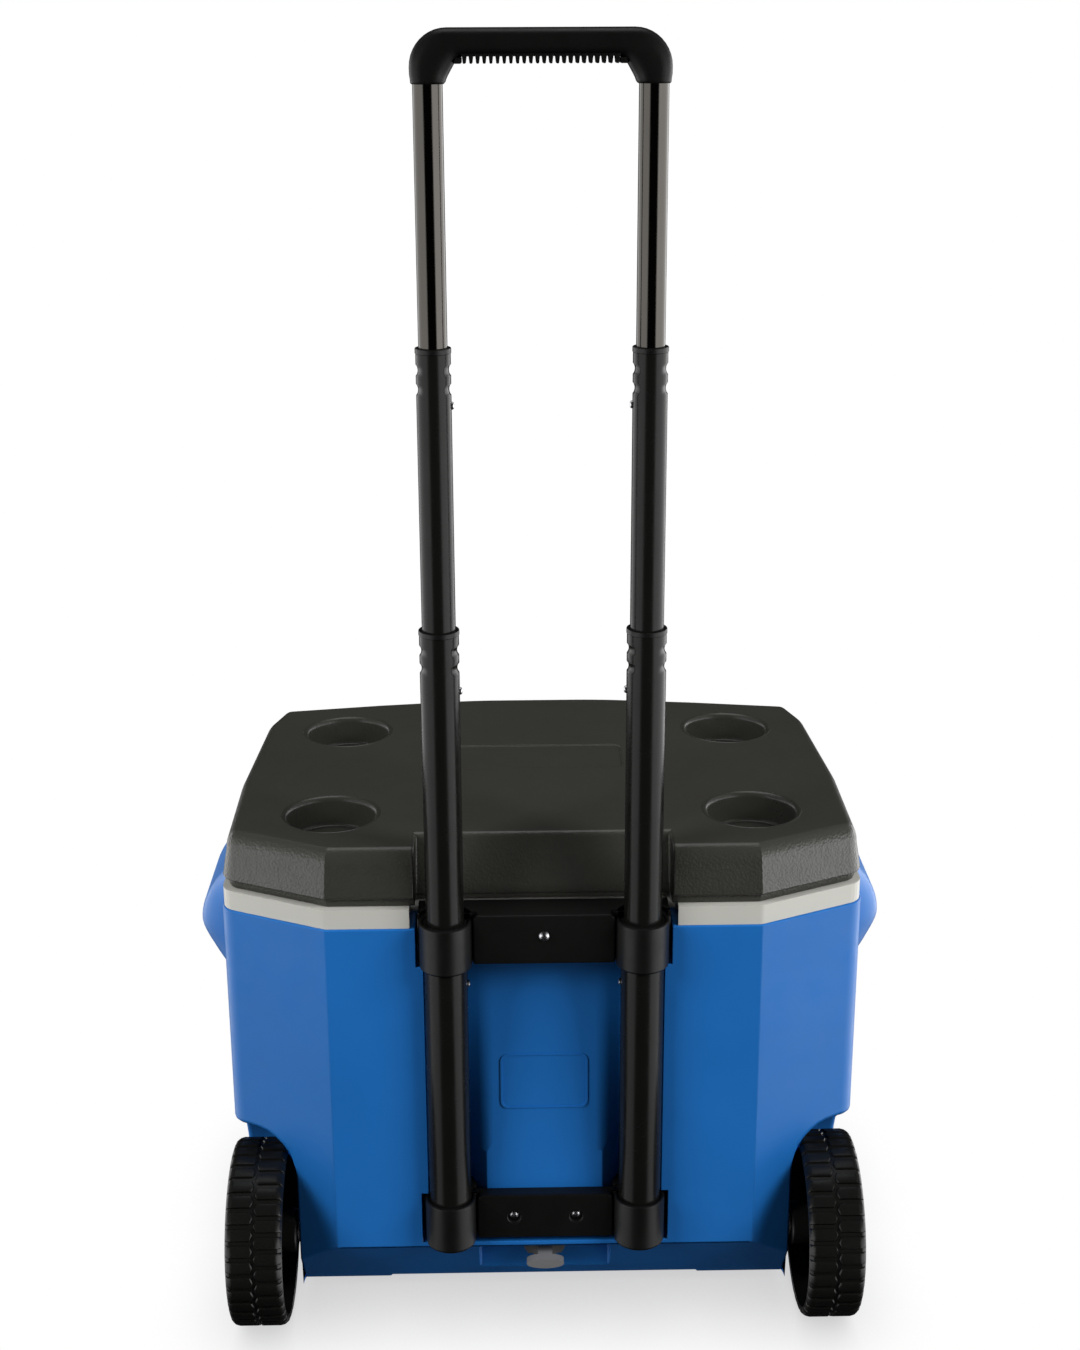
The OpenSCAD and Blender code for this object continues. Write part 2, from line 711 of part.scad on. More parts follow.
module lid_insulation() {
    color(foam) place() difference() {
        union() {
            lid_core(slack, lid_z + 2.7);
            plug_form(2.5 + foam_gap, plug_z + 2.7, lid_z + 4);
        }
        lid_channel(skin + slack);
        box(-84.3, 84.3, body_d - 14.3, body_d + 30, 300, 500);
        can_holes(can_r + skin + foam_gap, lid_top_z - can_depth - skin - foam_gap);
    }
}

body_shell();
body_insulation();
inner_liner();
drain_spout();
drain_nut();
drain_washer();
drain_plug();
drain_plug_ring();
upper_bracket();
lower_bracket();
upper_bracket_screw();
lower_bracket_screws();
outer_tube_left();
outer_tube_right();
outer_tube_bushes();
axle_left();
axle_right();
axle_washers();
axle_caps();
hinge_base();
hinge_pin();
hinge_screws();
stage_1_tube_left();
stage_1_tube_right();
stage_1_collars();
stage_1_end_plugs();
stage_1_lock_left();
stage_1_lock_right();
stage_2_tube_left();
stage_2_tube_right();
stage_2_collars();
stage_2_end_plugs();
stage_2_lock_left();
stage_2_lock_right();
stage_3_tube_left();
stage_3_tube_right();
stage_3_end_plugs();
stage_3_lock_left();
stage_3_lock_right();
grip();
grip_screws();
wheel_left();
wheel_right();
wheel_bush_left();
wheel_bush_right();
lid_shell();
lid_insulation();
lid_liner();
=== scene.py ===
"""Wheeled cooler with a telescoping pull handle, a hinged lid and a drain plug.

The shapes are built in millimetres, with y = 0 on the body's flat back face, and make() moves each
finished mesh into the frame's metres. Sizes come from the CAD nodes' boxes wherever they hold them.
"""
import json
import math

import bmesh
import bpy
from mathutils import Matrix, Vector

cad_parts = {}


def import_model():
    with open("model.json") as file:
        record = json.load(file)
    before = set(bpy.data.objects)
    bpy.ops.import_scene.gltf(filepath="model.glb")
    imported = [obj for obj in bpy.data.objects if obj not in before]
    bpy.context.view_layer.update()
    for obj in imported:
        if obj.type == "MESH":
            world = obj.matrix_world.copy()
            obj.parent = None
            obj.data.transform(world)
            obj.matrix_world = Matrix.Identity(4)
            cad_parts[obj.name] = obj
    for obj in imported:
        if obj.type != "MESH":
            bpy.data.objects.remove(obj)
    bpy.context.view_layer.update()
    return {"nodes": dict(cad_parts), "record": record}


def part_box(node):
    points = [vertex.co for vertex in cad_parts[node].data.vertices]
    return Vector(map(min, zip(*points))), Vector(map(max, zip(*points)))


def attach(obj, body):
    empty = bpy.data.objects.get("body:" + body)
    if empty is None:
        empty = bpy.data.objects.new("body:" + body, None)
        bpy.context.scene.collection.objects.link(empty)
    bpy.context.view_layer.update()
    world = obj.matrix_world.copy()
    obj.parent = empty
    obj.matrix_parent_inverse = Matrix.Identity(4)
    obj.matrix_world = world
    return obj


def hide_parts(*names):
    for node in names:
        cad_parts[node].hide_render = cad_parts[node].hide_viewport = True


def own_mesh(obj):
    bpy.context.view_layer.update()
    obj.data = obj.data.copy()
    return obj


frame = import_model()

MM = 0.001
BACK = Vector((0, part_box("body_shell")[0].y, 0))


def cad_box(node):
    """A node's lowest and highest corners in millimetres, with y from the body's back face."""
    return [(corner - BACK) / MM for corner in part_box(node)]


# ---------- sizes, in millimetres ----------

BODY_TOP = cad_box("body_shell")[1].z
SKIN = 3.0
WALL = 28.0
BODY_DEPTH = cad_box("body_insulation")[1].y + SKIN + 0.2
BODY_HALF_W = cad_box("body_insulation")[1].x + SKIN + 0.2
FLOOR_Z = cad_box("body_insulation")[0].z - SKIN - 0.2
EAR_HALF_W = cad_box("body_shell")[1].x
RIM_TOP = cad_box("inner_liner")[1].z

LID_TOP = cad_box("lid_shell")[1].z
LID_BOTTOM = RIM_TOP + 0.3
LID_EDGE = 2.0
LIP_IN = 5.0
LIP_H = 8.0
BOW = cad_box("lid_shell")[1].y + LID_EDGE - BODY_DEPTH
NOTCH_LEAN = 11.0
CAN_R = 36.8
CAN_X = 172.3
CAN_Y = (84.0, 281.0)
CAN_DEPTH = 25.0

CHANNEL_HALF_W = 101.7
CHANNEL_MID_HALF_W = 95.9
CHANNEL_DEPTH = 30.0
CHANNEL_FLOOR = 81.0
PANEL_FOOT_Y = 11.0
PANEL_FOOT_Z = 128.0
PANEL_TOP_Z = 358.0
DRAIN_HALF_W = 55.0
DRAIN_ROOF = 75.5
DRAIN_WALL = 31.0
DRAIN_BORE_R = 9.6
DRAIN_Z = 63.3
UNDERCUT_Y = 44.0
UNDERCUT_TOP = 77.6
FOOT_X = 206.5
EAR_Y = (105.0, 255.0)
EAR_PEAK = 316.0
EAR_LOW = EAR_PEAK - 52
EAR_TOP = BODY_TOP
WELL_GAP = 19.0
WELL_ROUND = 38.0
UPPER_SCREW_Z = 362.9
LOWER_SCREW = (25.7, 106.2)
LOCK_Z = {1: 320.7, 2: 566.6, 3: 784.1}

TUBE_X = sum(corner.x for corner in cad_box("outer_tube_right")) / 2
WHEEL_LOW, WHEEL_HIGH = cad_box("wheel_right")
WHEEL_R = (WHEEL_HIGH.z - WHEEL_LOW.z) / 2
WHEEL_Y = (WHEEL_HIGH.y + WHEEL_LOW.y) / 2
WHEEL_OUT = WHEEL_HIGH.x
WHEEL_IN = WHEEL_LOW.x + 6
HUB_IN = WHEEL_LOW.x

# How far the cutters reach past the object
BESIDE = 400.0
BEHIND = -60.0
BELOW = -60.0
ABOVE = 900.0

# The side walls are widest at WIDEST_Y and lean in by SIDE_TAPER up to TAPER_Y
BACK_HALF_W = 173.0
FACET_Y = 43.0
WIDEST_Y = 165.0
TAPER_Y = BODY_DEPTH - 52
SIDE_TAPER = 5.0

# Half of a plan from the back to the front: x, y, corner radius
BODY_HALF = [
    (BACK_HALF_W, 0, 5), (BODY_HALF_W, FACET_Y, 20), (BODY_HALF_W, WIDEST_Y, 150),
    (BODY_HALF_W - SIDE_TAPER, TAPER_Y, 60), (BODY_HALF_W - 17, BODY_DEPTH - 12, 18), (140, BODY_DEPTH, 120),
]
LID_HALF = [
    (BACK_HALF_W, 0, 5), (BODY_HALF_W, FACET_Y, 20), (BODY_HALF_W + 1.5, WIDEST_Y, 150),
    (BODY_HALF_W - SIDE_TAPER - 0.5, TAPER_Y, 60), (BODY_HALF_W - 18, BODY_DEPTH - 8, 18),
    (150, BODY_DEPTH + 8, 500), (60, BODY_DEPTH + BOW, 400),
]


# ---------- outlines ----------

def corner_arc(a, b, c, radius, steps):
    """The arc that rounds corner b between a and c."""
    u, v = (a - b).normalized(), (c - b).normalized()
    half = u.angle(v) / 2
    centre = b + (u + v).normalized() * radius / math.sin(half)
    start = b + u * radius / math.tan(half) - centre
    end = b + v * radius / math.tan(half) - centre
    first = math.atan2(start.y, start.x)
    turn = (math.atan2(end.y, end.x) - first + 3 * math.pi) % math.tau - math.pi
    angles = [first + turn * i / steps for i in range(steps + 1)]
    return [centre + radius * Vector((math.cos(t), math.sin(t))) for t in angles]


def rounded(outline, steps=6):
    """An outline of (x, y, corner radius) as points, with an arc at each corner that has a radius."""
    points = []
    for i, (x, y, radius) in enumerate(outline):
        b = Vector((x, y))
        a, c = Vector(outline[i - 1][:2]), Vector(outline[(i + 1) % len(outline)][:2])
        points += corner_arc(a, b, c, radius, steps) if radius > 0 else [b]
    return points


def inset(outline, distance):
    """A counter-clockwise outline with every side moved inwards."""
    moved = []
    for i, (x, y, radius) in enumerate(outline):
        b = Vector((x, y))
        before = (b - Vector(outline[i - 1][:2])).normalized()
        after = (Vector(outline[(i + 1) % len(outline)][:2]) - b).normalized()
        n1, n2 = Vector((-before.y, before.x)), Vector((-after.y, after.x))
        q = b + distance * (n1 + n2) / (1 + n1.dot(n2))
        if radius > 0:
            convex = before.x * after.y - before.y * after.x > 0
            radius = max(radius - distance, 1) if convex else max(radius + distance, 1)
        moved.append((q.x, q.y, radius))
    return moved


def both_sides(half):
    return half + [(-x, y, r) for x, y, r in reversed(half)]


BODY_PLAN = both_sides(BODY_HALF)
LID_PLAN = inset(both_sides(LID_HALF), LID_EDGE)


def circle(radius, steps=64, centre=(0, 0)):
    angles = [math.tau * i / steps for i in range(steps)]
    return [Vector((centre[0] + radius * math.cos(t), centre[1] + radius * math.sin(t))) for t in angles]


def rectangle(x0, x1, y0, y1, radius=0.0):
    return rounded([(x0, y0, radius), (x1, y0, radius), (x1, y1, radius), (x0, y1, radius)], 5)


# ---------- meshes, in millimetres ----------

def new_object(name, bm):
    bmesh.ops.recalc_face_normals(bm, faces=bm.faces)
    mesh = bpy.data.meshes.new(name)
    bm.to_mesh(mesh)
    bm.free()
    obj = bpy.data.objects.new(name, mesh)
    bpy.context.scene.collection.objects.link(obj)
    return obj


def loft(rings, closed=False):
    """A closed mesh through rings of equal length. A closed loft joins its last ring to its first."""
    bm = bmesh.new()
    loops = [[bm.verts.new(p) for p in ring] for ring in rings]
    count = len(loops[0])
    pairs = list(zip(loops, loops[1:] + loops[:1])) if closed else list(zip(loops, loops[1:]))
    for low, high in pairs:
        for i in range(count):
            j = (i + 1) % count
            bm.faces.new((low[i], low[j], high[j], high[i]))
    if not closed:
        bm.faces.new(loops[0])
        bm.faces.new(loops[-1])
    return new_object("part", bm)


def axis_point(axis, a, b, along):
    """A point from its two outline coordinates and its place along the axis."""
    return {"x": Vector((along, a, b)), "y": Vector((a, along, b)), "z": Vector((a, b, along))}[axis]


def prism(outline, axis, low, high):
    return loft([[axis_point(axis, p[0], p[1], t) for p in outline] for t in (low, high)])


def box(x0, x1, y0, y1, z0, z1):
    return prism(rectangle(x0, x1, y0, y1), "z", z0, z1)


def lathe(profile, axis, centre, steps=64):
    """A profile of (place along the axis, radius) turned round the axis through centre."""
    rings = []
    for i in range(steps):
        c, s = math.cos(math.tau * i / steps), math.sin(math.tau * i / steps)
        rings.append([axis_point(axis, centre[0] + r * c, centre[1] + r * s, t) for t, r in profile])
    return loft(rings, closed=True)


def turned(profile, axis, centre, steps=64):
    """A solid turned round the axis: a disc at each (place along the axis, radius), closed at both ends."""
    return loft([[axis_point(axis, p.x, p.y, t) for p in circle(r, steps, centre)] for t, r in profile])


def rod(radius, axis, low, high, centre, steps=48):
    return prism(circle(radius, steps, centre), axis, low, high)


def apply(obj):
    """Bakes the object's modifiers into its mesh."""
    bpy.context.view_layer.update()
    evaluated = obj.evaluated_get(bpy.context.evaluated_depsgraph_get())
    mesh = bpy.data.meshes.new_from_object(evaluated)
    obj.modifiers.clear()
    obj.data = mesh
    return obj


def combine(obj, operation, *tools):
    """Cuts the tools from obj, or joins them to it, and removes them."""
    for tool in tools:
        modifier = obj.modifiers.new("combine", "BOOLEAN")
        modifier.operation = operation
        modifier.solver = "EXACT"
        modifier.object = tool
        apply(obj)
        bpy.data.objects.remove(tool)
    return obj


def cut(obj, *tools):
    return combine(obj, "DIFFERENCE", *tools)


def fuse(obj, *tools):
    return combine(obj, "UNION", *tools)


def gather(*objects):
    """Joins separate closed pieces into one object without cutting them."""
    bm = bmesh.new()
    for obj in objects:
        bm.from_mesh(obj.data)
        bpy.data.objects.remove(obj)
    return new_object("part", bm)


def mirrored(build):
    """What build makes, and its mirror image across x = 0, as two objects."""
    right, left = build(), build()
    for vertex in left.data.vertices:
        vertex.co.x = -vertex.co.x
    left.data.flip_normals()
    return right, left


def soften(obj, width, special=(), angle=32, segments=3):
    """Rounds every edge sharper than angle. special holds (test of the edge's middle, width) pairs."""
    bm = bmesh.new()
    bm.from_mesh(obj.data)
    bmesh.ops.remove_doubles(bm, verts=bm.verts, dist=0.01)
    bmesh.ops.dissolve_limit(bm, angle_limit=math.radians(0.3), verts=bm.verts, edges=bm.edges)
    weight = bm.edges.layers.float.new("bevel_weight_edge")
    widest = max([width] + [w for _, w in special])
    for edge in bm.edges:
        if len(edge.link_faces) == 2 and edge.calc_face_angle() > math.radians(angle):
            middle = (edge.verts[0].co + edge.verts[1].co) / 2
            chosen = next((w for test, w in special if test(middle)), width)
            edge[weight] = chosen / widest
    bm.to_mesh(obj.data)
    bm.free()
    modifier = obj.modifiers.new("soften", "BEVEL")
    modifier.limit_method = "WEIGHT"
    modifier.width = widest
    modifier.segments = segments
    modifier.use_clamp_overlap = False
    return apply(obj)


def split(obj, test, *planes):
    """Splits the faces that pass a test along (axis, place) planes, so that none wraps round an opening."""
    bm = bmesh.new()
    bm.from_mesh(obj.data)
    for axis, place in planes:
        normal = Vector([float(axis == name) for name in "xyz"])
        faces = [face for face in bm.faces if test(face)]
        parts = faces + list({edge for face in faces for edge in face.edges})
        parts += list({vert for face in faces for vert in face.verts})
        bmesh.ops.bisect_plane(bm, geom=parts, plane_co=normal * place, plane_no=normal, dist=0.001)
    bm.to_mesh(obj.data)
    bm.free()
    return obj


def make(obj, name, body, slot, material, *replaced, sharp=35):
    """Moves a finished mesh into the frame, shades it, ties it to its body and hides the CAD nodes it
    replaces.
    """
    obj.name = name
    obj.data.name = name
    obj.data.transform(Matrix.Translation(BACK) @ Matrix.Scale(MM, 4))
    for polygon in obj.data.polygons:
        polygon.use_smooth = True
    obj.data.set_sharp_from_angle(angle=math.radians(sharp))
    obj.modifiers.new("flat faces", "WEIGHTED_NORMAL").keep_sharp = True
    obj.data.materials.clear()
    obj.data.materials.append(material)
    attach(obj, body)
    if replaced:
        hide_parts(*replaced)
    return obj


# ---------- materials ----------

def shade(name, colour, roughness, **sockets):
    """A new material with one shader. Returns the material, its node tree and the shader."""
    material = bpy.data.materials.new(name)
    material.use_nodes = True
    tree = material.node_tree
    shader = tree.nodes["Principled BSDF"]
    shader.inputs["Base Color"].default_value = (*colour, 1)
    shader.inputs["Roughness"].default_value = roughness
    for socket, value in sockets.items():
        shader.inputs[socket.replace("_", " ")].default_value = value
    return material, tree, shader


def add(tree, kind, **inputs):
    """A new node with the given input values."""
    node = tree.nodes.new(kind)
    for name, value in inputs.items():
        node.inputs[name].default_value = value
    return node


def map_range(tree, value, source, target=(0.0, 1.0), clamp=True):
    """Maps value from one (low, high) range to another. Returns the mapped output."""
    ranges = {"From Min": source[0], "From Max": source[1], "To Min": target[0], "To Max": target[1]}
    node = add(tree, "ShaderNodeMapRange", **ranges)
    node.clamp = clamp
    tree.links.new(value, node.inputs["Value"])
    return node.outputs["Result"]


def mottle(tree, shader, place, colour, scale, amount):
    """Lets the colour drift a little over the surface."""
    noise = add(tree, "ShaderNodeTexNoise", Scale=scale, Detail=4.0, Roughness=0.6)
    tree.links.new(place, noise.inputs["Vector"])
    ramp = tree.nodes.new("ShaderNodeValToRGB")
    for element, at, factor in zip(ramp.color_ramp.elements, (0.3, 0.7), (1 - amount, 1 + amount)):
        element.position = at
        element.color = (*[channel * factor for channel in colour], 1)
    tree.links.new(noise.outputs["Fac"], ramp.inputs["Fac"])
    tree.links.new(ramp.outputs["Color"], shader.inputs["Base Color"])


def vary_roughness(tree, shader, place, scale, low, high):
    """Lets the gloss drift a little over the surface."""
    noise = add(tree, "ShaderNodeTexNoise", Scale=scale, Detail=5.0, Roughness=0.65)
    tree.links.new(place, noise.inputs["Vector"])
    spread = map_range(tree, noise.outputs["Fac"], (0.3, 0.7), (low, high))
    tree.links.new(spread, shader.inputs["Roughness"])


def grain(tree, shader, place, scale, depth, kind="voronoi", strength=1.0):
    """Moulded grain: pebbled from cells, or fine from noise. depth is in metres."""
    if kind == "voronoi":
        texture = add(tree, "ShaderNodeTexVoronoi", Scale=scale, Randomness=1.0)
        texture.feature = "SMOOTH_F1"
        texture.inputs["Smoothness"].default_value = 0.6
        height = texture.outputs["Distance"]
    else:
        texture = add(tree, "ShaderNodeTexNoise", Scale=scale, Detail=3.0, Roughness=0.6)
        height = texture.outputs["Fac"]
    tree.links.new(place, texture.inputs["Vector"])
    bump = add(tree, "ShaderNodeBump", Strength=strength, Distance=depth)
    tree.links.new(height, bump.inputs["Height"])
    tree.links.new(bump.outputs["Normal"], shader.inputs["Normal"])
    return bump


def moulded(name, colour, roughness, grain_scale, grain_depth, mottling=0.05, kind="noise", **sockets):
    """Injection-moulded plastic, rubber or paint: drifting colour, uneven gloss and a fine grain."""
    material, tree, shader = shade(name, colour, roughness, **sockets)
    place = tree.nodes.new("ShaderNodeTexCoord").outputs["Object"]
    mottle(tree, shader, place, colour, 11.0, mottling)
    vary_roughness(tree, shader, place, 45.0, roughness - 0.05, roughness + 0.06)
    grain(tree, shader, place, grain_scale, grain_depth, kind)
    return material


LID_COLOUR = (0.033, 0.033, 0.028)


def lid_plastic():
    """Charcoal plastic with a pebbled skirt and a finer, flatter grain on top."""
    material, tree, shader = shade("lid_charcoal_plastic", LID_COLOUR, 0.36)
    place = tree.nodes.new("ShaderNodeTexCoord").outputs["Object"]
    mottle(tree, shader, place, LID_COLOUR, 7.0, 0.06)
    vary_roughness(tree, shader, place, 60.0, 0.31, 0.39)
    bump = grain(tree, shader, place, 480.0, 0.0004, strength=0.5)
    facing = tree.nodes.new("ShaderNodeNewGeometry")
    axes = tree.nodes.new("ShaderNodeSeparateXYZ")
    tree.links.new(facing.outputs["Normal"], axes.inputs["Vector"])
    amount = map_range(tree, axes.outputs["Z"], (0.5, 0.95), (0.9, 0.06))
    tree.links.new(amount, bump.inputs["Strength"])
    return material


def metal(name, colour, roughness):
    """Bare metal with an uneven gloss and a very fine grain."""
    scale = 400.0
    material, tree, shader = shade(name, colour, roughness, Metallic=1.0)
    place = tree.nodes.new("ShaderNodeTexCoord").outputs["Object"]
    vary_roughness(tree, shader, place, scale, roughness - 0.06, roughness + 0.08)
    grain(tree, shader, place, scale * 2, 0.00002, "noise", 0.4)
    return material


BLUE = moulded("body_blue_plastic", (0.014, 0.150, 0.49), 0.36, 900.0, 0.00003, 0.04, Specular_IOR_Level=0.3)
WHITE = moulded("liner_white_plastic", (0.56, 0.555, 0.51), 0.36, 500.0, 0.00003, 0.02)
CHARCOAL = lid_plastic()
# A darker copy of the lid's charcoal, 0.8 times its colour: painted shade inside the can holders. Its lower
# roughness and finer grain are real.
SHADED_SMOOTH_CHARCOAL = moulded("lid_charcoal_smooth_painted_shade", [0.8 * c for c in LID_COLOUR], 0.30, 900.0, 0.00002, 0.04)
BLACK = moulded("moulded_black_plastic", (0.005, 0.005, 0.0048), 0.38, 1300.0, 0.00006, 0.12,
                Specular_IOR_Level=0.22)
GRIP_BLACK = moulded("grip_black_plastic", (0.004, 0.004, 0.0038), 0.40, 900.0, 0.00008, 0.1,
                     Specular_IOR_Level=0.15)
TYRE = moulded("wheel_black_plastic", (0.006, 0.006, 0.0055), 0.32, 700.0, 0.00004, 0.15,
               Specular_IOR_Level=0.25)
TUBE = moulded("tube_black_paint", (0.006, 0.006, 0.0055), 0.24, 900.0, 0.000006, 0.08,
               Specular_IOR_Level=0.15)
TUBE_GLOSS = moulded("tube_black_gloss", (0.05, 0.047, 0.043), 0.12, 900.0, 0.000002, 0.05, Metallic=1.0)
GREY = moulded("drain_grey_plastic", (0.17, 0.17, 0.175), 0.36, 700.0, 0.00004, 0.05)
RUBBER = moulded("seal_rubber", (0.018, 0.018, 0.018), 0.62, 900.0, 0.00006, 0.1)
NYLON = moulded("bush_nylon", (0.70, 0.69, 0.65), 0.40, 600.0, 0.00004, 0.04)
FOAM = moulded("insulation_foam", (0.80, 0.70, 0.45), 0.85, 350.0, 0.0004, 0.06, "voronoi")
STEEL = metal("bright_steel", (0.50, 0.50, 0.52), 0.28)
RIVET = moulded("rivet_black_paint", (0.008, 0.008, 0.008), 0.3, 900.0, 0.00003, 0.1)

SLOT_MATERIAL = {
    "body_blue": BLUE, "liner_white": WHITE, "foam": FOAM, "lid_charcoal": CHARCOAL, "drain_grey": GREY,
    "seal_rubber": RUBBER, "tube_black": TUBE, "moulded_black": BLACK, "wheel_black": TYRE,
    "bush_nylon": NYLON, "hinge_charcoal": CHARCOAL, "rivet_black": RIVET, "bright_steel": STEEL,
}


def dress_cad_nodes():
    """Gives every CAD node its slot's material, and rounds its edges a little."""
    slots = {part["node"]: part["material_slot"] for part in frame["record"]["subparts"]}
    for node, obj in frame["nodes"].items():
        for material_slot in obj.material_slots:
            material_slot.link = "OBJECT"
            material_slot.material = SLOT_MATERIAL[slots[node]]
        weld = obj.modifiers.new("weld", "WELD")
        weld.merge_threshold = 0.00001
        flat = obj.modifiers.new("flat", "DECIMATE")
        flat.decimate_type = "DISSOLVE"
        flat.angle_limit = math.radians(1)
        bevel = obj.modifiers.new("round", "BEVEL")
        bevel.width = 0.0005
        bevel.segments = 2
        bevel.angle_limit = math.radians(40)
        obj.modifiers.new("flat faces", "WEIGHTED_NORMAL").keep_sharp = True


# ---------- body ----------

def side_profile():
    """The body's outline from the side, as (y, z), with the undercut at the foot of its back."""
    return rounded([
        (UNDERCUT_Y, FLOOR_Z, 4), (BODY_DEPTH - 18, FLOOR_Z, 12), (BODY_DEPTH, FLOOR_Z + 22, 14),
        (BODY_DEPTH, ABOVE, 0), (0, ABOVE, 0), (0, UNDERCUT_TOP, 3),
    ])


def tombstone(radius):
    """A wheel well seen from the side: an arch over the axle and straight down to below the floor."""
    arch = [math.pi * i / 32 for i in range(33)]
    over = [(WHEEL_Y + radius * math.cos(t), WHEEL_R + radius * math.sin(t)) for t in arch]
    return over + [(WHEEL_Y - radius, BELOW), (WHEEL_Y + radius, BELOW)]


def wheel_well():
    """The space for a wheel, with a big round between its roof and its inner wall."""
    radius = WHEEL_R + WELL_GAP
    rings = []
    for i in range(9):
        t = math.pi / 2 * i / 8
        x = FOOT_X + WELL_ROUND * (1 - math.cos(t))
        inward = WELL_ROUND * (1 - math.sin(t))
        rings.append([Vector((x, y, z)) for y, z in tombstone(radius - inward)])
    rings.append([Vector((BESIDE, y, z)) for y, z in tombstone(radius)])
    return loft(rings)


def ear():
    """A carry handle on the side wall: a bulge that fades out towards both ends."""
    reach, root = EAR_HALF_W - BODY_HALF_W, BODY_HALF_W - 12
    rings = []
    for i in range(29):
        u = i / 28
        y = EAR_Y[0] + (EAR_Y[1] - EAR_Y[0]) * u
        swell = math.sin(math.pi / 2 * min(min(u, 1 - u) / 0.22, 1)) ** 0.9
        wall = BODY_HALF_W - 0.6 - SIDE_TAPER * max(y - WIDEST_Y, 0) / (TAPER_Y - WIDEST_Y)
        ring = [Vector((root, y, EAR_TOP))]
        for k in range(25):
            z = EAR_TOP + (EAR_LOW - EAR_TOP) * k / 24
            if z > EAR_PEAK:
                bulge = 1 - ((z - EAR_PEAK) / (EAR_TOP - EAR_PEAK)) ** 2 * 0.88
            else:
                bulge = 1 - ((EAR_PEAK - z) / (EAR_PEAK - EAR_LOW)) ** 1.35
            ring.append(Vector((wall - 0.4 + (BODY_HALF_W + bulge * reach - wall + 0.4) * swell, y, z)))
        ring.append(Vector((root, y, EAR_LOW)))
        rings.append(ring)
    return loft(rings)


def ear_pocket():
    """The finger space under the carry handle, open downwards and sunk a little into the wall."""
    wall, outside, end = BODY_HALF_W - 2.4, 298, 32
    z = EAR_PEAK
    outline = [
        (wall, z - 66, 0), (outside, z - 66, 0), (outside, z - 24, 0), (276, z - 24, 2),
        (279.5, z - 16, 8), (282.5, z - 8, 4), (279.5, z - 3, 4), (wall, z - 2, 0),
    ]
    return prism(rounded(outline, 5), "y", EAR_Y[0] + end, EAR_Y[1] - end)


def channel():
    """Room for the handle tubes. Its back wall swells towards the middle, less and less further up."""
    def back_wall(z):
        if z < PANEL_FOOT_Z:
            return 9 + 2 * (z - 20) / (PANEL_FOOT_Z - 20)
        slope = (CHANNEL_DEPTH - PANEL_FOOT_Y) * (z - PANEL_FOOT_Z) / (PANEL_TOP_Z - PANEL_FOOT_Z)
        return min(PANEL_FOOT_Y + slope, CHANNEL_DEPTH)

    rings = []
    for z in [CHANNEL_FLOOR, 100, 122] + [PANEL_FOOT_Z + 10 * i for i in range(24)] + [ABOVE]:
        swell = CHANNEL_DEPTH - back_wall(z)
        ring = [Vector((-CHANNEL_MID_HALF_W, BEHIND, z)), Vector((CHANNEL_MID_HALF_W, BEHIND, z))]
        for i in range(33):
            x = CHANNEL_MID_HALF_W * (1 - i / 16)
            t = min(max((abs(x) - 45) / 23, 0), 1)
            ring.append(Vector((x, CHANNEL_DEPTH - swell * (1 + math.cos(math.pi * t)) / 2, z)))
        rings.append(ring)
    return loft(rings)


def body_room():
    """What body_skin leaves out inside for the foam and the liner. It stays clear of every recess."""
    gap = WALL - SKIN - 0.4
    room = prism(rounded(inset(BODY_PLAN, gap), 8), "z", FLOOR_Z + gap, 500)
    cut(room, box(-CHANNEL_HALF_W - gap, CHANNEL_HALF_W + gap, BEHIND, CHANNEL_DEPTH + gap, 40, ABOVE))
    well_r = WHEEL_R + WELL_GAP + gap
    for piece in mirrored(lambda: rod(well_r, "x", FOOT_X - gap, BESIDE, (WHEEL_Y, WHEEL_R))):
        cut(room, piece)
    for piece in mirrored(lambda: box(FOOT_X - gap, BESIDE, 0, WHEEL_Y + well_r, 0, WHEEL_R)):
        cut(room, piece)
    undercut = [(0, 0), (UNDERCUT_Y + gap * 1.35, FLOOR_Z), (gap, UNDERCUT_TOP + gap * 0.3), (0, 78)]
    return cut(room, prism(undercut, "x", -BESIDE, BESIDE))


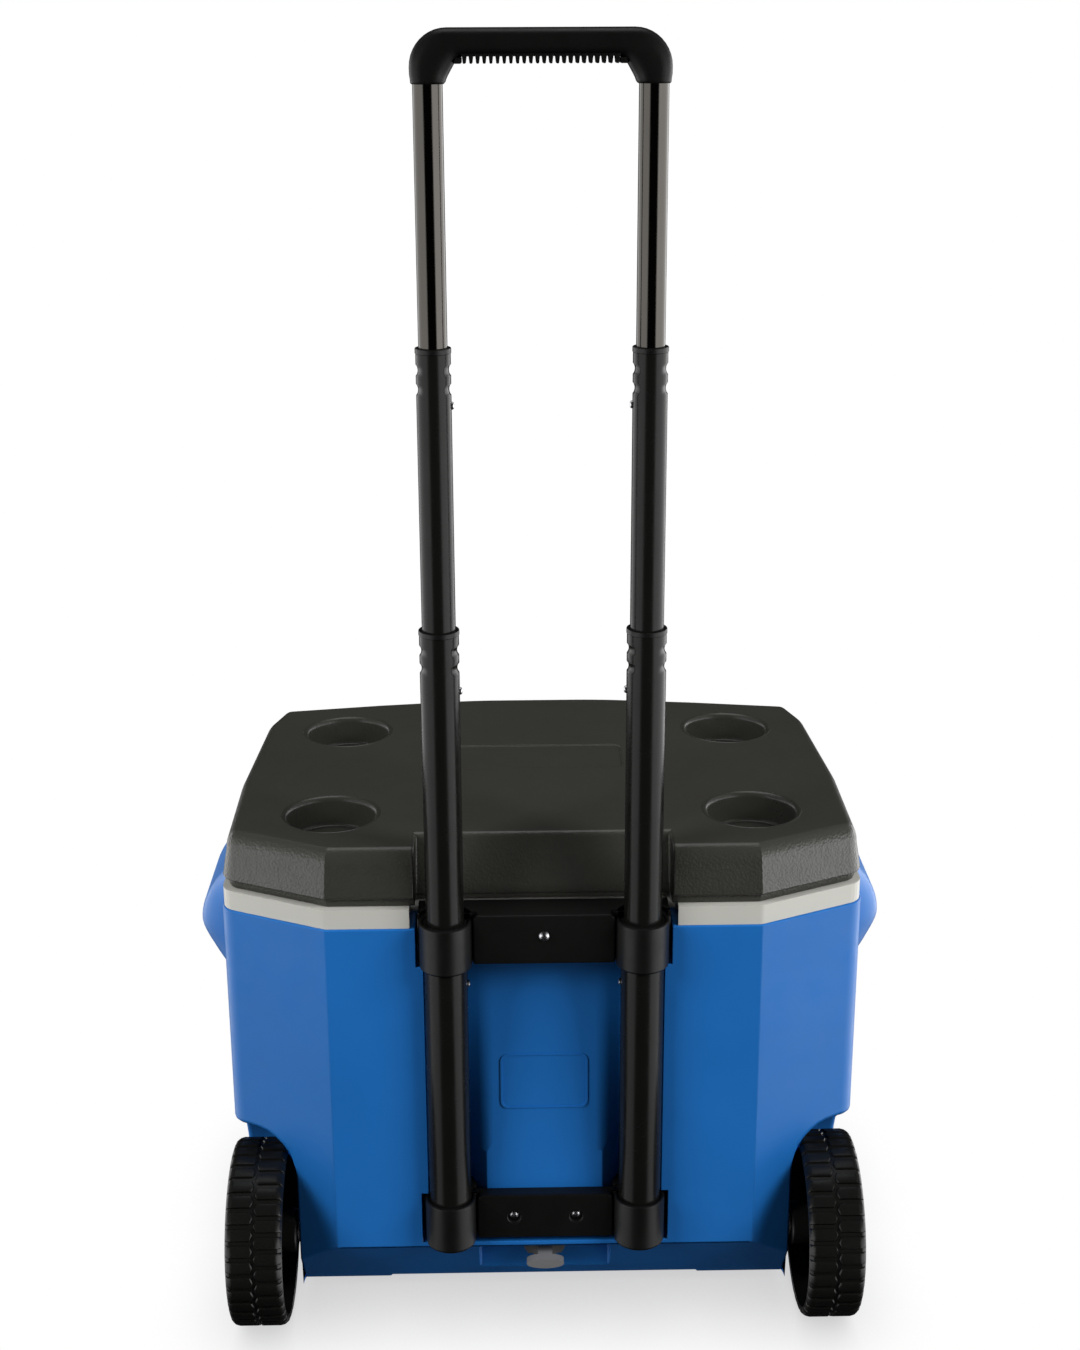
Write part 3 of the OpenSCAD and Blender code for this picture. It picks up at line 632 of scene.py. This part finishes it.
def body_skin():
    """The blue outer shell, with the recesses for the handle, drain, wheels and bracket wings."""
    skin = prism(rounded(BODY_PLAN, 8), "z", 0, BODY_TOP)
    combine(skin, "INTERSECT", prism(side_profile(), "x", -BESIDE, BESIDE))
    cut(skin, channel())
    for low, high in ((CHANNEL_FLOOR, 127.9), (335.2, ABOVE)):
        for piece in mirrored(lambda: box(60, CHANNEL_HALF_W, BEHIND, CHANNEL_DEPTH, low, high)):
            cut(skin, piece)
    pocket = rounded([
        (-DRAIN_HALF_W - 9, FLOOR_Z - 8, 0), (DRAIN_HALF_W + 9, FLOOR_Z - 8, 0),
        (DRAIN_HALF_W, FLOOR_Z + 12, 6), (DRAIN_HALF_W, DRAIN_ROOF, 4), (-DRAIN_HALF_W, DRAIN_ROOF, 4),
        (-DRAIN_HALF_W, FLOOR_Z + 12, 6),
    ])
    cut(skin, prism(pocket, "y", BEHIND, DRAIN_WALL))
    for piece in mirrored(ear):
        fuse(skin, piece)
    for piece in mirrored(ear_pocket):
        cut(skin, piece)
    for piece in mirrored(wheel_well):
        cut(skin, piece)
    cut(skin, box(-131, 131, 40, 130, 0, FLOOR_Z + 2.7))
    for piece in mirrored(lambda: box(150, 205, BODY_DEPTH - 72, BODY_DEPTH - 22, 0, FLOOR_Z + 4)):
        fuse(skin, piece)
    cut(skin, body_room())
    cut(skin, rod(DRAIN_BORE_R, "y", DRAIN_WALL - 5, DRAIN_WALL + WALL + 5, (0, DRAIN_Z)))
    special = [
        (lambda p: p.z > BODY_TOP - 1, 1.2),
        (lambda p: abs(p.x) < CHANNEL_HALF_W + 1 and p.y < CHANNEL_DEPTH + 1, 0.7),
        (lambda p: abs(p.x) > FOOT_X + 2 and p.z < 180 and p.y < 130, 5.0),
        (lambda p: abs(p.x) > BODY_HALF_W - 3 and p.z > 225, 1.2),
    ]
    soften(skin, 2.0, special)
    return split(skin, lambda face: min(v.co.z for v in face.verts) > BODY_TOP - 0.01,
                 ("x", 0), ("x", -128), ("x", 128), ("x", -222), ("x", 222), ("y", 57), ("y", 180))


def label_frame():
    """A blank rounded frame that stands a little proud of the sloping panel."""
    half_w, half_h, line, middle_z = 36.0, 24.0, 2.2, 221.6
    low, high = Vector((0, PANEL_FOOT_Y, PANEL_FOOT_Z)), Vector((0, CHANNEL_DEPTH, PANEL_TOP_Z))
    slope = (high - low).normalized()
    out = Vector((0, -slope.z, slope.y))
    middle = low + (high - low) * ((middle_z - PANEL_FOOT_Z) / (PANEL_TOP_Z - PANEL_FOOT_Z))
    corners = [(-half_w, -half_h), (half_w, -half_h), (half_w, half_h), (-half_w, half_h)]
    outline = rounded([(x, y, 6) for x, y in corners])
    rings = []
    for p in outline:
        inner = Vector(p) * (1 - line / Vector(p).length)
        section = [(Vector(p), -0.5), (Vector(p) * 0.995, 0.9), (inner * 1.005, 0.9), (inner, -0.5)]
        rings.append([middle + Vector((q.x, 0, 0)) + slope * q.y + out * lift for q, lift in section])
    return loft(rings, closed=True)


# ---------- lid ----------

def can_profile():
    """A can holder's wall as (height, radius), from its floor's edge to its rounded rim."""
    floor, rim = LID_TOP - CAN_DEPTH, 4.5
    quarter = [math.pi / 2 * i / 5 for i in range(6)]
    profile = [(floor + 3 - 3 * math.cos(t), CAN_R - 5 + 3 * math.sin(t)) for t in quarter]
    lip = [(LID_TOP - rim + rim * math.sin(t), CAN_R - 0.5 + rim * (1 - math.cos(t))) for t in quarter]
    return profile + lip


def can_cutter(y):
    """The space of the can holder at y."""
    profile = can_profile()
    return turned(profile + [(LID_TOP + 8, profile[-1][1])], "z", (CAN_X, y), 72)


def can_cup(y):
    """A smooth lining, just inside a can holder's wall, whose darker charcoal is painted shade in the hollow.
    """
    cut_line = can_profile()
    inner = [(z + 0.3, r - 0.5) for z, r in cut_line]
    return lathe(cut_line + inner[::-1], "z", (CAN_X, y), 72)


def lid_rings():
    """Rings of the lid's plan from its tucked-in lip, up the skirt and over the rounded shoulder."""
    lip_top = LID_BOTTOM + LIP_H
    shoulder = 16.0
    levels = [
        (LID_BOTTOM, LIP_IN + 1.2), (LID_BOTTOM + 0.8, LIP_IN + 0.3), (LID_BOTTOM + 2.5, LIP_IN - 0.4),
        (LID_BOTTOM + 5, LIP_IN - 1.1), (lip_top - 0.8, LIP_IN - 1.6), (lip_top - 0.2, 2.2), (lip_top, 1.2),
        (lip_top + 0.6, 0.4), (lip_top + 1.6, 0.0), (lip_top + 12, 1.6),
    ]
    for i in range(11):
        t = math.pi / 2 * i / 10
        levels.append((LID_TOP - shoulder + shoulder * math.sin(t), 3.8 + 10.5 * (1 - math.cos(t))))
    return [[Vector((p.x, p.y, z)) for p in rounded(inset(LID_PLAN, e), 8)] for z, e in levels]


def notch(grow=0.0):
    """The lid's notch for the grip, with a back wall that leans away from it."""
    lip_top, low, high = LID_BOTTOM + LIP_H, 300, 500
    lean = NOTCH_LEAN * (high - lip_top) / (LID_TOP - lip_top)
    outline = inset([(BEHIND, low, 0), (CHANNEL_DEPTH, low, 0), (CHANNEL_DEPTH, lip_top, 0),
                     (CHANNEL_DEPTH + lean, high, 0), (BEHIND, high, 0)], -grow)
    return prism(rounded(outline), "x", -CHANNEL_HALF_W - grow, CHANNEL_HALF_W + grow)


def lid_cover():
    """The lid's outside, with the grip's notch, the can holders and a blank recessed panel."""
    cover = cut(loft(lid_rings()), notch())
    inner = [[Vector((p.x, p.y, z)) for p in rounded(inset(LID_PLAN, e), 8)]
             for z, e in ((LID_BOTTOM - 2, LIP_IN + 3), (LID_BOTTOM + 2.6, LIP_IN + 3))]
    hollow = cut(loft(inner), notch(3.2))
    cut(hollow, box(-84, 84, BODY_DEPTH - 14, BODY_DEPTH + 40, 300, 500))
    cut(cover, hollow)
    fuse(cover, box(-CHANNEL_HALF_W + 0.4, CHANNEL_HALF_W - 0.4, CHANNEL_DEPTH + 0.6, CHANNEL_DEPTH + 3,
                    LID_BOTTOM - 4.4, LID_BOTTOM + 1))
    for y in CAN_Y:
        for piece in mirrored(lambda: can_cutter(y)):
            cut(cover, piece)
    cut(cover, prism(rectangle(-73, 73, 184, 240, 7), "z", LID_TOP - 1, LID_TOP + 6))
    special = [
        (lambda p: p.z > LID_TOP - 2 and abs(p.x) < 74 and p.y > 180, 0.8),
        (lambda p: p.z < LID_BOTTOM + LIP_H + 1, 0.5),
        (lambda p: p.z > LID_TOP - 2 and abs(p.x) < CHANNEL_HALF_W - 1 and p.y < CHANNEL_DEPTH + 20, 4.0),
        (lambda p: abs(abs(p.x) - CHANNEL_HALF_W) < 2 and p.y < CHANNEL_DEPTH + 20, 2.5),
    ]
    return soften(cover, 1.5, special, angle=38)


def knuckle(x0, x1, y, z, radius):
    """A hinge knuckle from x0 to x1, bored for the pin."""
    edge, bore = 0.8, 2.55
    profile = [(x0, bore), (x0, radius - edge), (x0 + edge, radius), (x1 - edge, radius), (x1, radius - edge),
               (x1, bore)]
    return lathe(profile, "x", (y, z), 40)


def lid_knuckles():
    """The lid's three hinge knuckles, each on a stem that goes up into the lid."""
    y, z = BODY_DEPTH + 9, LID_BOTTOM - 8
    pieces = []
    for x0, x1 in ((-58, -38.5), (-11.5, 11.5), (38.5, 58)):
        pieces.append(knuckle(x0, x1, y, z, 6.5))
        stem = rectangle(x0 + 0.6, x1 - 0.6, y - 5.4, y + 5.4, 1.2)
        pieces.append(prism(stem, "z", z + 3.6, LID_BOTTOM + 5))
    return gather(*pieces)


# ---------- handle ----------

def tube(radius, low, high, x, crimps=()):
    """A hollow round tube with a pair of dents, on its left and right, at each crimp height."""
    steps, wall, dent, half = 48, 1.2, 1.5, 4.2
    heights = [low, high]
    for z in crimps:
        heights += [z + dz for dz in (-half, -3, -2, -1, 0, 1, 2, 3, half)]
    outside, inside = [], []
    for z in sorted(heights):
        outer, inner = [], []
        near = max([0.0] + [math.cos(math.pi / 2 * (z - c) / half) for c in crimps if abs(z - c) < half])
        for i in range(steps):
            t = math.tau * i / steps
            side = max(0.0, abs(math.cos(t)) - 0.6) / 0.4
            r = radius - dent * near ** 0.7 * side ** 0.7
            for ring, reach in ((outer, r), (inner, min(radius - wall, r - 0.5))):
                ring.append(Vector((x + reach * math.cos(t), reach * math.sin(t), z)))
        outside.append(outer)
        inside.append(inner)
    return loft(outside + inside[::-1], closed=True)


def ring_profile(low, high, r_in, r_out, edge):
    """A ring's section as (height, radius), with its edges taken off."""
    return [(low, r_in), (low, r_out - edge), (low + edge, r_out), (high - edge, r_out),
            (high - edge * 0.3, r_out - edge * 0.3), (high, r_out - edge), (high, r_in + edge * 0.5),
            (high - edge * 0.5, r_in)]


def collars(node):
    """The two rings on top of a pair of tubes."""
    low, high = cad_box(node)
    r_out = (high.x - low.x) / 2 - TUBE_X
    profile = ring_profile(high.z - 4.4, high.z, r_out - 3.0, r_out, 0.7)
    return gather(*mirrored(lambda: lathe(profile, "z", (TUBE_X, 0))))


def bracket(block, collar, side_y, block_depth, bore_from):
    """A cross bracket: a plate between two bored collars, with wings that fill the channel behind them.

    block and collar are (low, high) heights, and bore_from is where the bores start.
    """
    collar_r, bore_r = 20.9, 17.6
    plate = box(-60, 60, 4, block_depth, *block)
    face = [(-56.2, block[0], 0), (56.2, block[0], 0), (56.2, block[1], 5), (-56.2, block[1], 5)]
    fuse(plate, prism(rounded(face), "y", -3, 8))
    for piece in mirrored(lambda: box(57, CHANNEL_HALF_W - 2, side_y, CHANNEL_DEPTH - 0.3, *block)):
        fuse(plate, piece)
    for piece in mirrored(lambda: rod(collar_r, "z", collar[1], block[1] + 5, (TUBE_X, 0), 64)):
        cut(plate, piece)
    for piece in mirrored(lambda: rod(collar_r, "z", *collar, (TUBE_X, 0), 64)):
        fuse(plate, piece)
    for piece in mirrored(lambda: rod(bore_r, "z", bore_from, collar[1] + 9, (TUBE_X, 0), 64)):
        cut(plate, piece)
    return plate


def split_round_tubes(plate):
    """Splits a bracket's level faces through the middles of its bores."""
    planes = ("x", TUBE_X), ("x", -TUBE_X), ("y", 0), ("x", 0)
    return split(plate, lambda face: abs(face.normal.z) > 0.9, *planes)


def upper_bracket():
    """The bracket under the lid's edge, with one screw hole."""
    low, high = cad_box("upper_bracket")
    plate = bracket((338.5, high.z), (low.z, 375.7), 3, CHANNEL_DEPTH - 0.3, low.z - 9)
    cut(plate, rod(2.3, "y", -8, 8, (0, UPPER_SCREW_Z), 24))
    return split_round_tubes(soften(plate, 1.4, [(lambda p: p.z < low.z + 1, 2.0)]))


def lower_bracket():
    """The bracket at the foot of the fixed tubes, with a counterbore for each screw."""
    low, high = cad_box("lower_bracket")
    plate = bracket((86.8, high.z), (low.z, 125.5), 12, 9.8, cad_box("outer_tube_right")[0].z)
    for piece in mirrored(lambda: rod(4.9, "y", -8, 2, LOWER_SCREW, 32)):
        cut(plate, piece)
    return split_round_tubes(soften(plate, 1.4, [(lambda p: p.z < low.z + 1, 3.2)]))


def pan_screw(x, z, y):
    """A pan head with a cross recess. y is the seat, and the head stands towards -Y."""
    profile = [(y, 4.2), (y - 1.0, 4.15), (y - 1.9, 3.3), (y - 2.45, 1.8), (y - 2.6, 0.6)]
    head = turned(profile, "y", (x, z), 32)
    for along, across in ((2.3, 0.45), (0.45, 2.3)):
        cut(head, box(x - along, x + along, y - 4, y - 1.2, z - across, z + across))
    return head


def front_screw(x, z, y):
    """The same pan head on the hinge side, facing +Y."""
    head = pan_screw(x, z, 0)
    head.data.transform(Matrix.Translation((0, y, 0)) @ Matrix.Diagonal((1, -1, 1, 1)))
    head.data.flip_normals()
    return head


def lock_button(node, stage):
    """A spring lock's button, on the side that faces the other tube, and the x of its root."""
    low, high = cad_box(node)
    sign = 1 if low.x > 0 else -1
    tip = min(abs(low.x), abs(high.x))
    profile = [(tip + 8, 2.9), (tip + 1.5, 2.9), (tip + 0.6, 2.5), (tip + 0.1, 1.5), (tip, 0.4)]
    return turned([(sign * x, r) for x, r in profile], "x", (0, LOCK_Z[stage]), 28), sign * (tip + 8)


def grip_stations():
    """From the middle of the bar to a socket's end: outer edge, inner edge (x, z) and half thickness."""
    high = cad_box("grip")[1]
    half_w, top = high.x, high.z
    bend, thick = 26.0, 12.5
    bar_low, bottom = 1024.6, 1006.7
    stations = [((x, top), (x, bar_low), thick) for x in (0, 15, 30, 42, 50)]
    outer = [(half_w - bend + bend * math.sin(t), top - bend + bend * math.cos(t))
             for t in [math.pi / 2 * i / 10 for i in range(11)]]
    inner = [(54.0, 1024.4), (56.0, 1023.6), (57.6, 1022.3), (58.8, 1020.7), (59.8, 1019.0), (60.8, 1017.3),
             (61.7, 1015.7), (62.5, 1014.3), (63.3, 1012.9), (64.0, 1011.6), (64.6, 1010.4)]
    stations += [(o, i, thick) for o, i in zip(outer, inner)]
    stations += [((half_w - 0.1, 1013), (65.1, 1009.0), 12.4), ((half_w - 0.6, 1009.5), (65.5, 1008.0), 12.1),
                 ((89.8, bottom + 0.9), (65.9, bottom + 0.9), 11.9), ((89.0, bottom), (66.7, bottom), 11.2)]
    return stations


def grip():
    """The grip: a rounded bar that bends down into a socket on each tube."""
    stations = grip_stations()
    half = [((-o[0], o[1]), (-i[0], i[1]), t) for o, i, t in reversed(stations[1:])]
    rings = []
    for outer, inner, thick in half + stations:
        o, i = Vector((outer[0], 0, outer[1])), Vector((inner[0], 0, inner[1]))
        centre, reach = (o + i) / 2, (o - i) / 2
        ring = []
        for k in range(32):
            c, s = math.cos(math.tau * k / 32), math.sin(math.tau * k / 32)
            ring.append(centre + reach * math.copysign(abs(c) ** 0.72, c)
                        + Vector((0, thick * math.copysign(abs(s) ** 0.72, s), 0)))
        rings.append(ring)
    return loft(rings)


def grip_ribs():
    """The comb of ribs under the bar, with a wider one at each end."""
    count, pitch, root, tip, half_depth = 24, 4.55, 1027.0, 1020.0, 9.5
    pieces = []
    for i in range(count):
        x = (i - (count - 1) / 2) * pitch
        outline = [
            (x - 1.0, tip + 0.5), (x - 0.6, tip), (x + 0.6, tip), (x + 1.0, tip + 0.5),
            (x + 1.5, root - 2.4), (x + 2.2, root), (x - 2.2, root), (x - 1.5, root - 2.4),
        ]
        pieces.append(prism(outline, "y", -half_depth, half_depth))
    for side in (-1, 1):
        outline = [(54.2, tip + 0.6), (54.8, tip), (59.2, tip), (58.5, root - 3), (54.2, root - 3)]
        pieces.append(prism([(side * x, z) for x, z in outline], "y", -half_depth, half_depth))
    return soften(gather(*pieces), 0.35, segments=2)


# ---------- wheels ----------

BLOCKS = 36
SPOKES = 8


def tread_block(index, row):
    """One block: it bulges towards the middle groove and rolls over the wheel's shoulder."""
    middle = (WHEEL_IN + WHEEL_OUT) / 2
    pitch = math.tau / BLOCKS
    start = pitch * (index + 0.5 * (row > 0))
    half_w = (WHEEL_OUT - WHEEL_IN) / 2
    rings = []
    slices = (
        (0.03, 1.6, 0), (0.08, 0.35, 0.4), (0.2, 0, 1.1), (0.42, 0, 2.2), (0.64, 0, 1.1),
        (0.76, 0.35, 0.4), (0.81, 1.6, 0),
    )
    for share, drop, bulge in slices:
        t = start + pitch * share
        edge = 2.6 - bulge
        section = [
            (edge, WHEEL_R - 3), (edge, WHEEL_R - 0.8), (edge + 0.8, WHEEL_R), (half_w - 6.5, WHEEL_R),
            (half_w - 3.2, WHEEL_R - 0.9), (half_w - 1.2, WHEEL_R - 2.6), (half_w - 0.3, WHEEL_R - 5.2),
            (half_w - 1.5, WHEEL_R - 7),
        ]
        ring = []
        for reach, r in section:
            r = max(r - drop, WHEEL_R - 7)
            ring.append(Vector((middle + row * reach, WHEEL_Y + r * math.cos(t), WHEEL_R + r * math.sin(t))))
        rings.append(ring)
    return loft(rings)


def wheel_body():
    """Rim, dish and hub in one turned section."""
    base = WHEEL_R - 1.9
    inner = WHEEL_R - 8.5
    web = WHEEL_IN + 20
    profile = [
        (HUB_IN, 8.05), (HUB_IN, 16.8), (HUB_IN + 1.2, 18), (web - 3, 18), (web - 0.8, 18.8), (web, 21),
        (web, inner - 3), (web - 0.9, inner - 0.8), (web - 3, inner), (WHEEL_IN + 1, inner + 0.4),
        (WHEEL_IN, inner + 1.6), (WHEEL_IN + 0.3, base - 4.2), (WHEEL_IN + 1.8, base - 1.6),
        (WHEEL_IN + 4.4, base),
        (WHEEL_OUT - 4.4, base), (WHEEL_OUT - 1.8, base - 1.6), (WHEEL_OUT - 0.3, base - 4.2),
        (WHEEL_OUT, inner + 1.6), (WHEEL_OUT - 1, inner + 0.4), (web + 8, inner), (web + 5.9, inner - 0.8),
        (web + 5, inner - 3), (web + 5, 22), (web + 5.8, 19), (web + 8, 18), (WHEEL_OUT - 10.2, 17.6),
        (WHEEL_OUT - 9, 16.4), (WHEEL_OUT - 9, 8.05),
    ]
    return lathe(profile, "x", (WHEEL_Y, WHEEL_R), 96)


def spoke(index):
    """A rib on the dish, from the hub to the rim."""
    web = WHEEL_IN + 24
    turn = math.tau * index / SPOKES
    half = [(2.4, web), (1.9, web + 13.2), (1.1, web + 14)]
    section = [(-x, y) for x, y in half] + half[::-1]
    blade = prism(section, "z", 16, WHEEL_R - 8)
    c, s = math.cos(turn), math.sin(turn)
    for vertex in blade.data.vertices:
        across, along, out = vertex.co
        vertex.co = (along, WHEEL_Y + out * c - across * s, WHEEL_R + out * s + across * c)
    return blade


def wheel():
    """The right wheel: its turned body, spokes and two rows of tread blocks."""
    pieces = [wheel_body()]
    pieces += [spoke(i) for i in range(SPOKES)]
    pieces += [tread_block(i, row) for i in range(BLOCKS) for row in (-1, 1)]
    return gather(*pieces)


# ---------- build ----------

dress_cad_nodes()

make(body_skin(), "body_skin", "body", "body_blue", BLUE, "body_shell")
make(label_frame(), "blank_label_frame", "body", "body_blue", BLUE)
make(lid_cover(), "lid_cover", "lid", "lid_charcoal", CHARCOAL, "lid_shell")
# The can holders' linings carry the painted shade of their hollows in a darker charcoal.
can_cups = [piece for y in CAN_Y for piece in mirrored(lambda: can_cup(y))]
make(gather(*can_cups), "can_holder_linings", "lid", "lid_charcoal", SHADED_SMOOTH_CHARCOAL)
make(lid_knuckles(), "lid_hinge_knuckles", "lid", "lid_charcoal", CHARCOAL)

make(upper_bracket(), "upper_bracket_moulding", "body", "moulded_black", BLACK, "upper_bracket")
make(lower_bracket(), "lower_bracket_moulding", "body", "moulded_black", BLACK, "lower_bracket")
upper_screw = pan_screw(0, UPPER_SCREW_Z, -3)
make(upper_screw, "upper_bracket_screw_head", "body", "bright_steel", STEEL, "upper_bracket_screw")
lower_screws = gather(*mirrored(lambda: pan_screw(*LOWER_SCREW, 2)))
make(lower_screws, "lower_bracket_screw_heads", "body", "bright_steel", STEEL, "lower_bracket_screws")
hinge_screws = gather(*[front_screw(x, LID_BOTTOM - 43.5, BODY_DEPTH + 3) for x in (-50, -25, 25, 50)])
make(hinge_screws, "hinge_screw_heads", "body", "bright_steel", STEEL, "hinge_screws")

SIDES = (("left", -1), ("right", 1))
for side, sign in SIDES:
    for stage in (0, 1, 2, 3):
        node = f"outer_tube_{side}" if stage == 0 else f"stage_{stage}_tube_{side}"
        low, high = cad_box(node)
        crimps = [high.z + 4 - drop for drop in (16, 30)] if stage in (1, 2) else []
        piece = tube((high.x - low.x) / 2, low.z, high.z, sign * TUBE_X, crimps)
        body = "body" if stage == 0 else f"stage_{stage}"
        make(piece, f"{node}_skin", body, "tube_black", TUBE_GLOSS if stage == 3 else TUBE, node)

for stage in (1, 2):
    make(collars(f"stage_{stage}_collars"), f"stage_{stage}_collar_rings", f"stage_{stage}", "moulded_black",
         BLACK, f"stage_{stage}_collars")

for stage in (1, 2, 3):
    for side, _ in SIDES:
        node = f"stage_{stage}_lock_{side}"
        button, root = lock_button(node, stage)
        button = make(button, f"{node}_button", f"stage_{stage}", "bright_steel", STEEL, node)
        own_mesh(button)

make(grip(), "grip_moulding", "stage_3", "moulded_black", GRIP_BLACK, "grip")
make(grip_ribs(), "grip_ribs", "stage_3", "moulded_black", GRIP_BLACK)

for side, sign in SIDES:
    piece = wheel()
    if sign < 0:
        piece.data.transform(Matrix.Diagonal((-1, 1, 1, 1)))
        piece.data.flip_normals()
    make(piece, f"wheel_{side}_treaded", f"wheel_{side}", "wheel_black", TYRE, f"wheel_{side}")


# ---------- floor, lights and camera ----------

def floor():
    """A white floor that glows evenly and darkens only where the object touches it: a painted contact shadow,
    from ambient occlusion.
    """
    bpy.ops.mesh.primitive_plane_add(size=16, location=(0, 0, 0))
    plane = bpy.context.object
    plane.name = "floor"
    material = bpy.data.materials.new("white_floor")
    material.use_nodes = True
    tree = material.node_tree
    # Ambient occlusion darkens the glowing floor's colour near the object, down to grey: a painted contact
    # shadow.
    painted_contact_shadow = add(tree, "ShaderNodeAmbientOcclusion", Distance=0.11)
    painted_contact_shadow.samples = 12
    ramp = tree.nodes.new("ShaderNodeValToRGB")
    ramp.color_ramp.elements[0].color = (0.55, 0.55, 0.56, 1)
    ramp.color_ramp.elements[1].position = 0.9
    glow = tree.nodes.new("ShaderNodeEmission")
    tree.links.new(painted_contact_shadow.outputs["AO"], ramp.inputs["Fac"])
    tree.links.new(ramp.outputs["Color"], glow.inputs["Color"])
    tree.links.new(glow.outputs["Emission"], tree.nodes["Material Output"].inputs["Surface"])
    plane.visible_diffuse = plane.visible_glossy = False
    plane.data.materials.append(material)


def softbox(name, place, size, power, mirrored=False):
    """A rectangular lamp aimed at the middle of the cooler. Only a mirrored one shows in reflections."""
    target = Vector((0, 0, 0.4))
    light = bpy.data.lights.new(name, "AREA")
    light.shape = "RECTANGLE"
    light.size, light.size_y = size
    light.energy = power
    obj = bpy.data.objects.new(name, light)
    obj.location = place
    obj.rotation_euler = (target - Vector(place)).to_track_quat("-Z", "Y").to_euler()
    obj.visible_glossy = mirrored
    bpy.context.scene.collection.objects.link(obj)


def camera():
    """Behind and above the handle side, looking down at the cooler."""
    data = bpy.data.cameras.new("camera")
    data.lens = 52.6
    data.sensor_width = 36
    obj = bpy.data.objects.new("camera", data)
    pitch, yaw, roll = (math.radians(a) for a in (18.345, 1.08, -0.2457))
    forward = Vector((math.sin(yaw) * math.cos(pitch), math.cos(yaw) * math.cos(pitch), -math.sin(pitch)))
    level = Vector((math.cos(yaw), -math.sin(yaw), 0))
    raised = level.cross(forward)
    right = math.cos(roll) * level + math.sin(roll) * raised
    up = -math.sin(roll) * level + math.cos(roll) * raised
    turn = Matrix((right, up, -forward)).transposed().to_4x4()
    obj.matrix_world = Matrix.Translation((-0.029, BACK.y - 1.4137, 1.0475)) @ turn
    bpy.context.scene.collection.objects.link(obj)
    bpy.context.scene.camera = obj


def multiply(tree, a, b):
    """The product of two outputs."""
    product = tree.nodes.new("ShaderNodeMath")
    product.operation = "MULTIPLY"
    tree.links.new(a, product.inputs[0])
    tree.links.new(b, product.inputs[1])
    return product.outputs[0]


def world():
    """A studio with a bright wall on each side. Reflections see the walls stronger, but not from above."""
    background = bpy.data.worlds.new("studio")
    background.use_nodes = True
    bpy.context.scene.world = background
    tree = background.node_tree
    node = tree.nodes["Background"]
    node.inputs["Color"].default_value = (1, 1, 1, 1)
    place = tree.nodes.new("ShaderNodeTexCoord").outputs["Generated"]
    axes = tree.nodes.new("ShaderNodeSeparateXYZ")
    tree.links.new(place, axes.inputs["Vector"])
    side = tree.nodes.new("ShaderNodeMath")
    side.operation = "ABSOLUTE"
    tree.links.new(axes.outputs["X"], side.inputs[0])
    walls = map_range(tree, side.outputs[0], (0.5, 0.62))
    height = map_range(tree, axes.outputs["Z"], (-0.75, -0.3))
    balance = map_range(tree, axes.outputs["X"], (-0.5, 0.5), (0.95, 1.4))
    bright = multiply(tree, multiply(tree, walls, height), balance)
    low = map_range(tree, axes.outputs["Z"], (0.06, 0.3), (1.0, 0.12))
    lit = map_range(tree, bright, (0.0, 1.0), (0.07, 0.5), clamp=False)
    mirrored_walls = map_range(tree, multiply(tree, bright, low), (0.0, 1.0), (0.02, 2.6), clamp=False)
    ray = tree.nodes.new("ShaderNodeLightPath")
    strength = add(tree, "ShaderNodeMix", B=1.0)
    glossy = tree.nodes.new("ShaderNodeMix")
    tree.links.new(ray.outputs["Is Glossy Ray"], glossy.inputs["Factor"])
    tree.links.new(lit, glossy.inputs["A"])
    tree.links.new(mirrored_walls, glossy.inputs["B"])
    tree.links.new(ray.outputs["Is Camera Ray"], strength.inputs["Factor"])
    tree.links.new(glossy.outputs["Result"], strength.inputs["A"])
    tree.links.new(strength.outputs["Result"], node.inputs["Strength"])


floor()
world()
softbox("left_softbox", (-2.3, -1.5, 1.9), (1.2, 1.2), 62)
softbox("right_softbox", (2.3, -1.5, 1.9), (1.2, 1.2), 73)
softbox("front_softbox", (0.7, 2.6, 0.5), (1.4, 0.8), 22)
softbox("top_softbox", (0, 0.5, 3.0), (1.6, 1.6), 15, mirrored=True)
camera()
bpy.context.scene.view_settings.view_transform = "Standard"
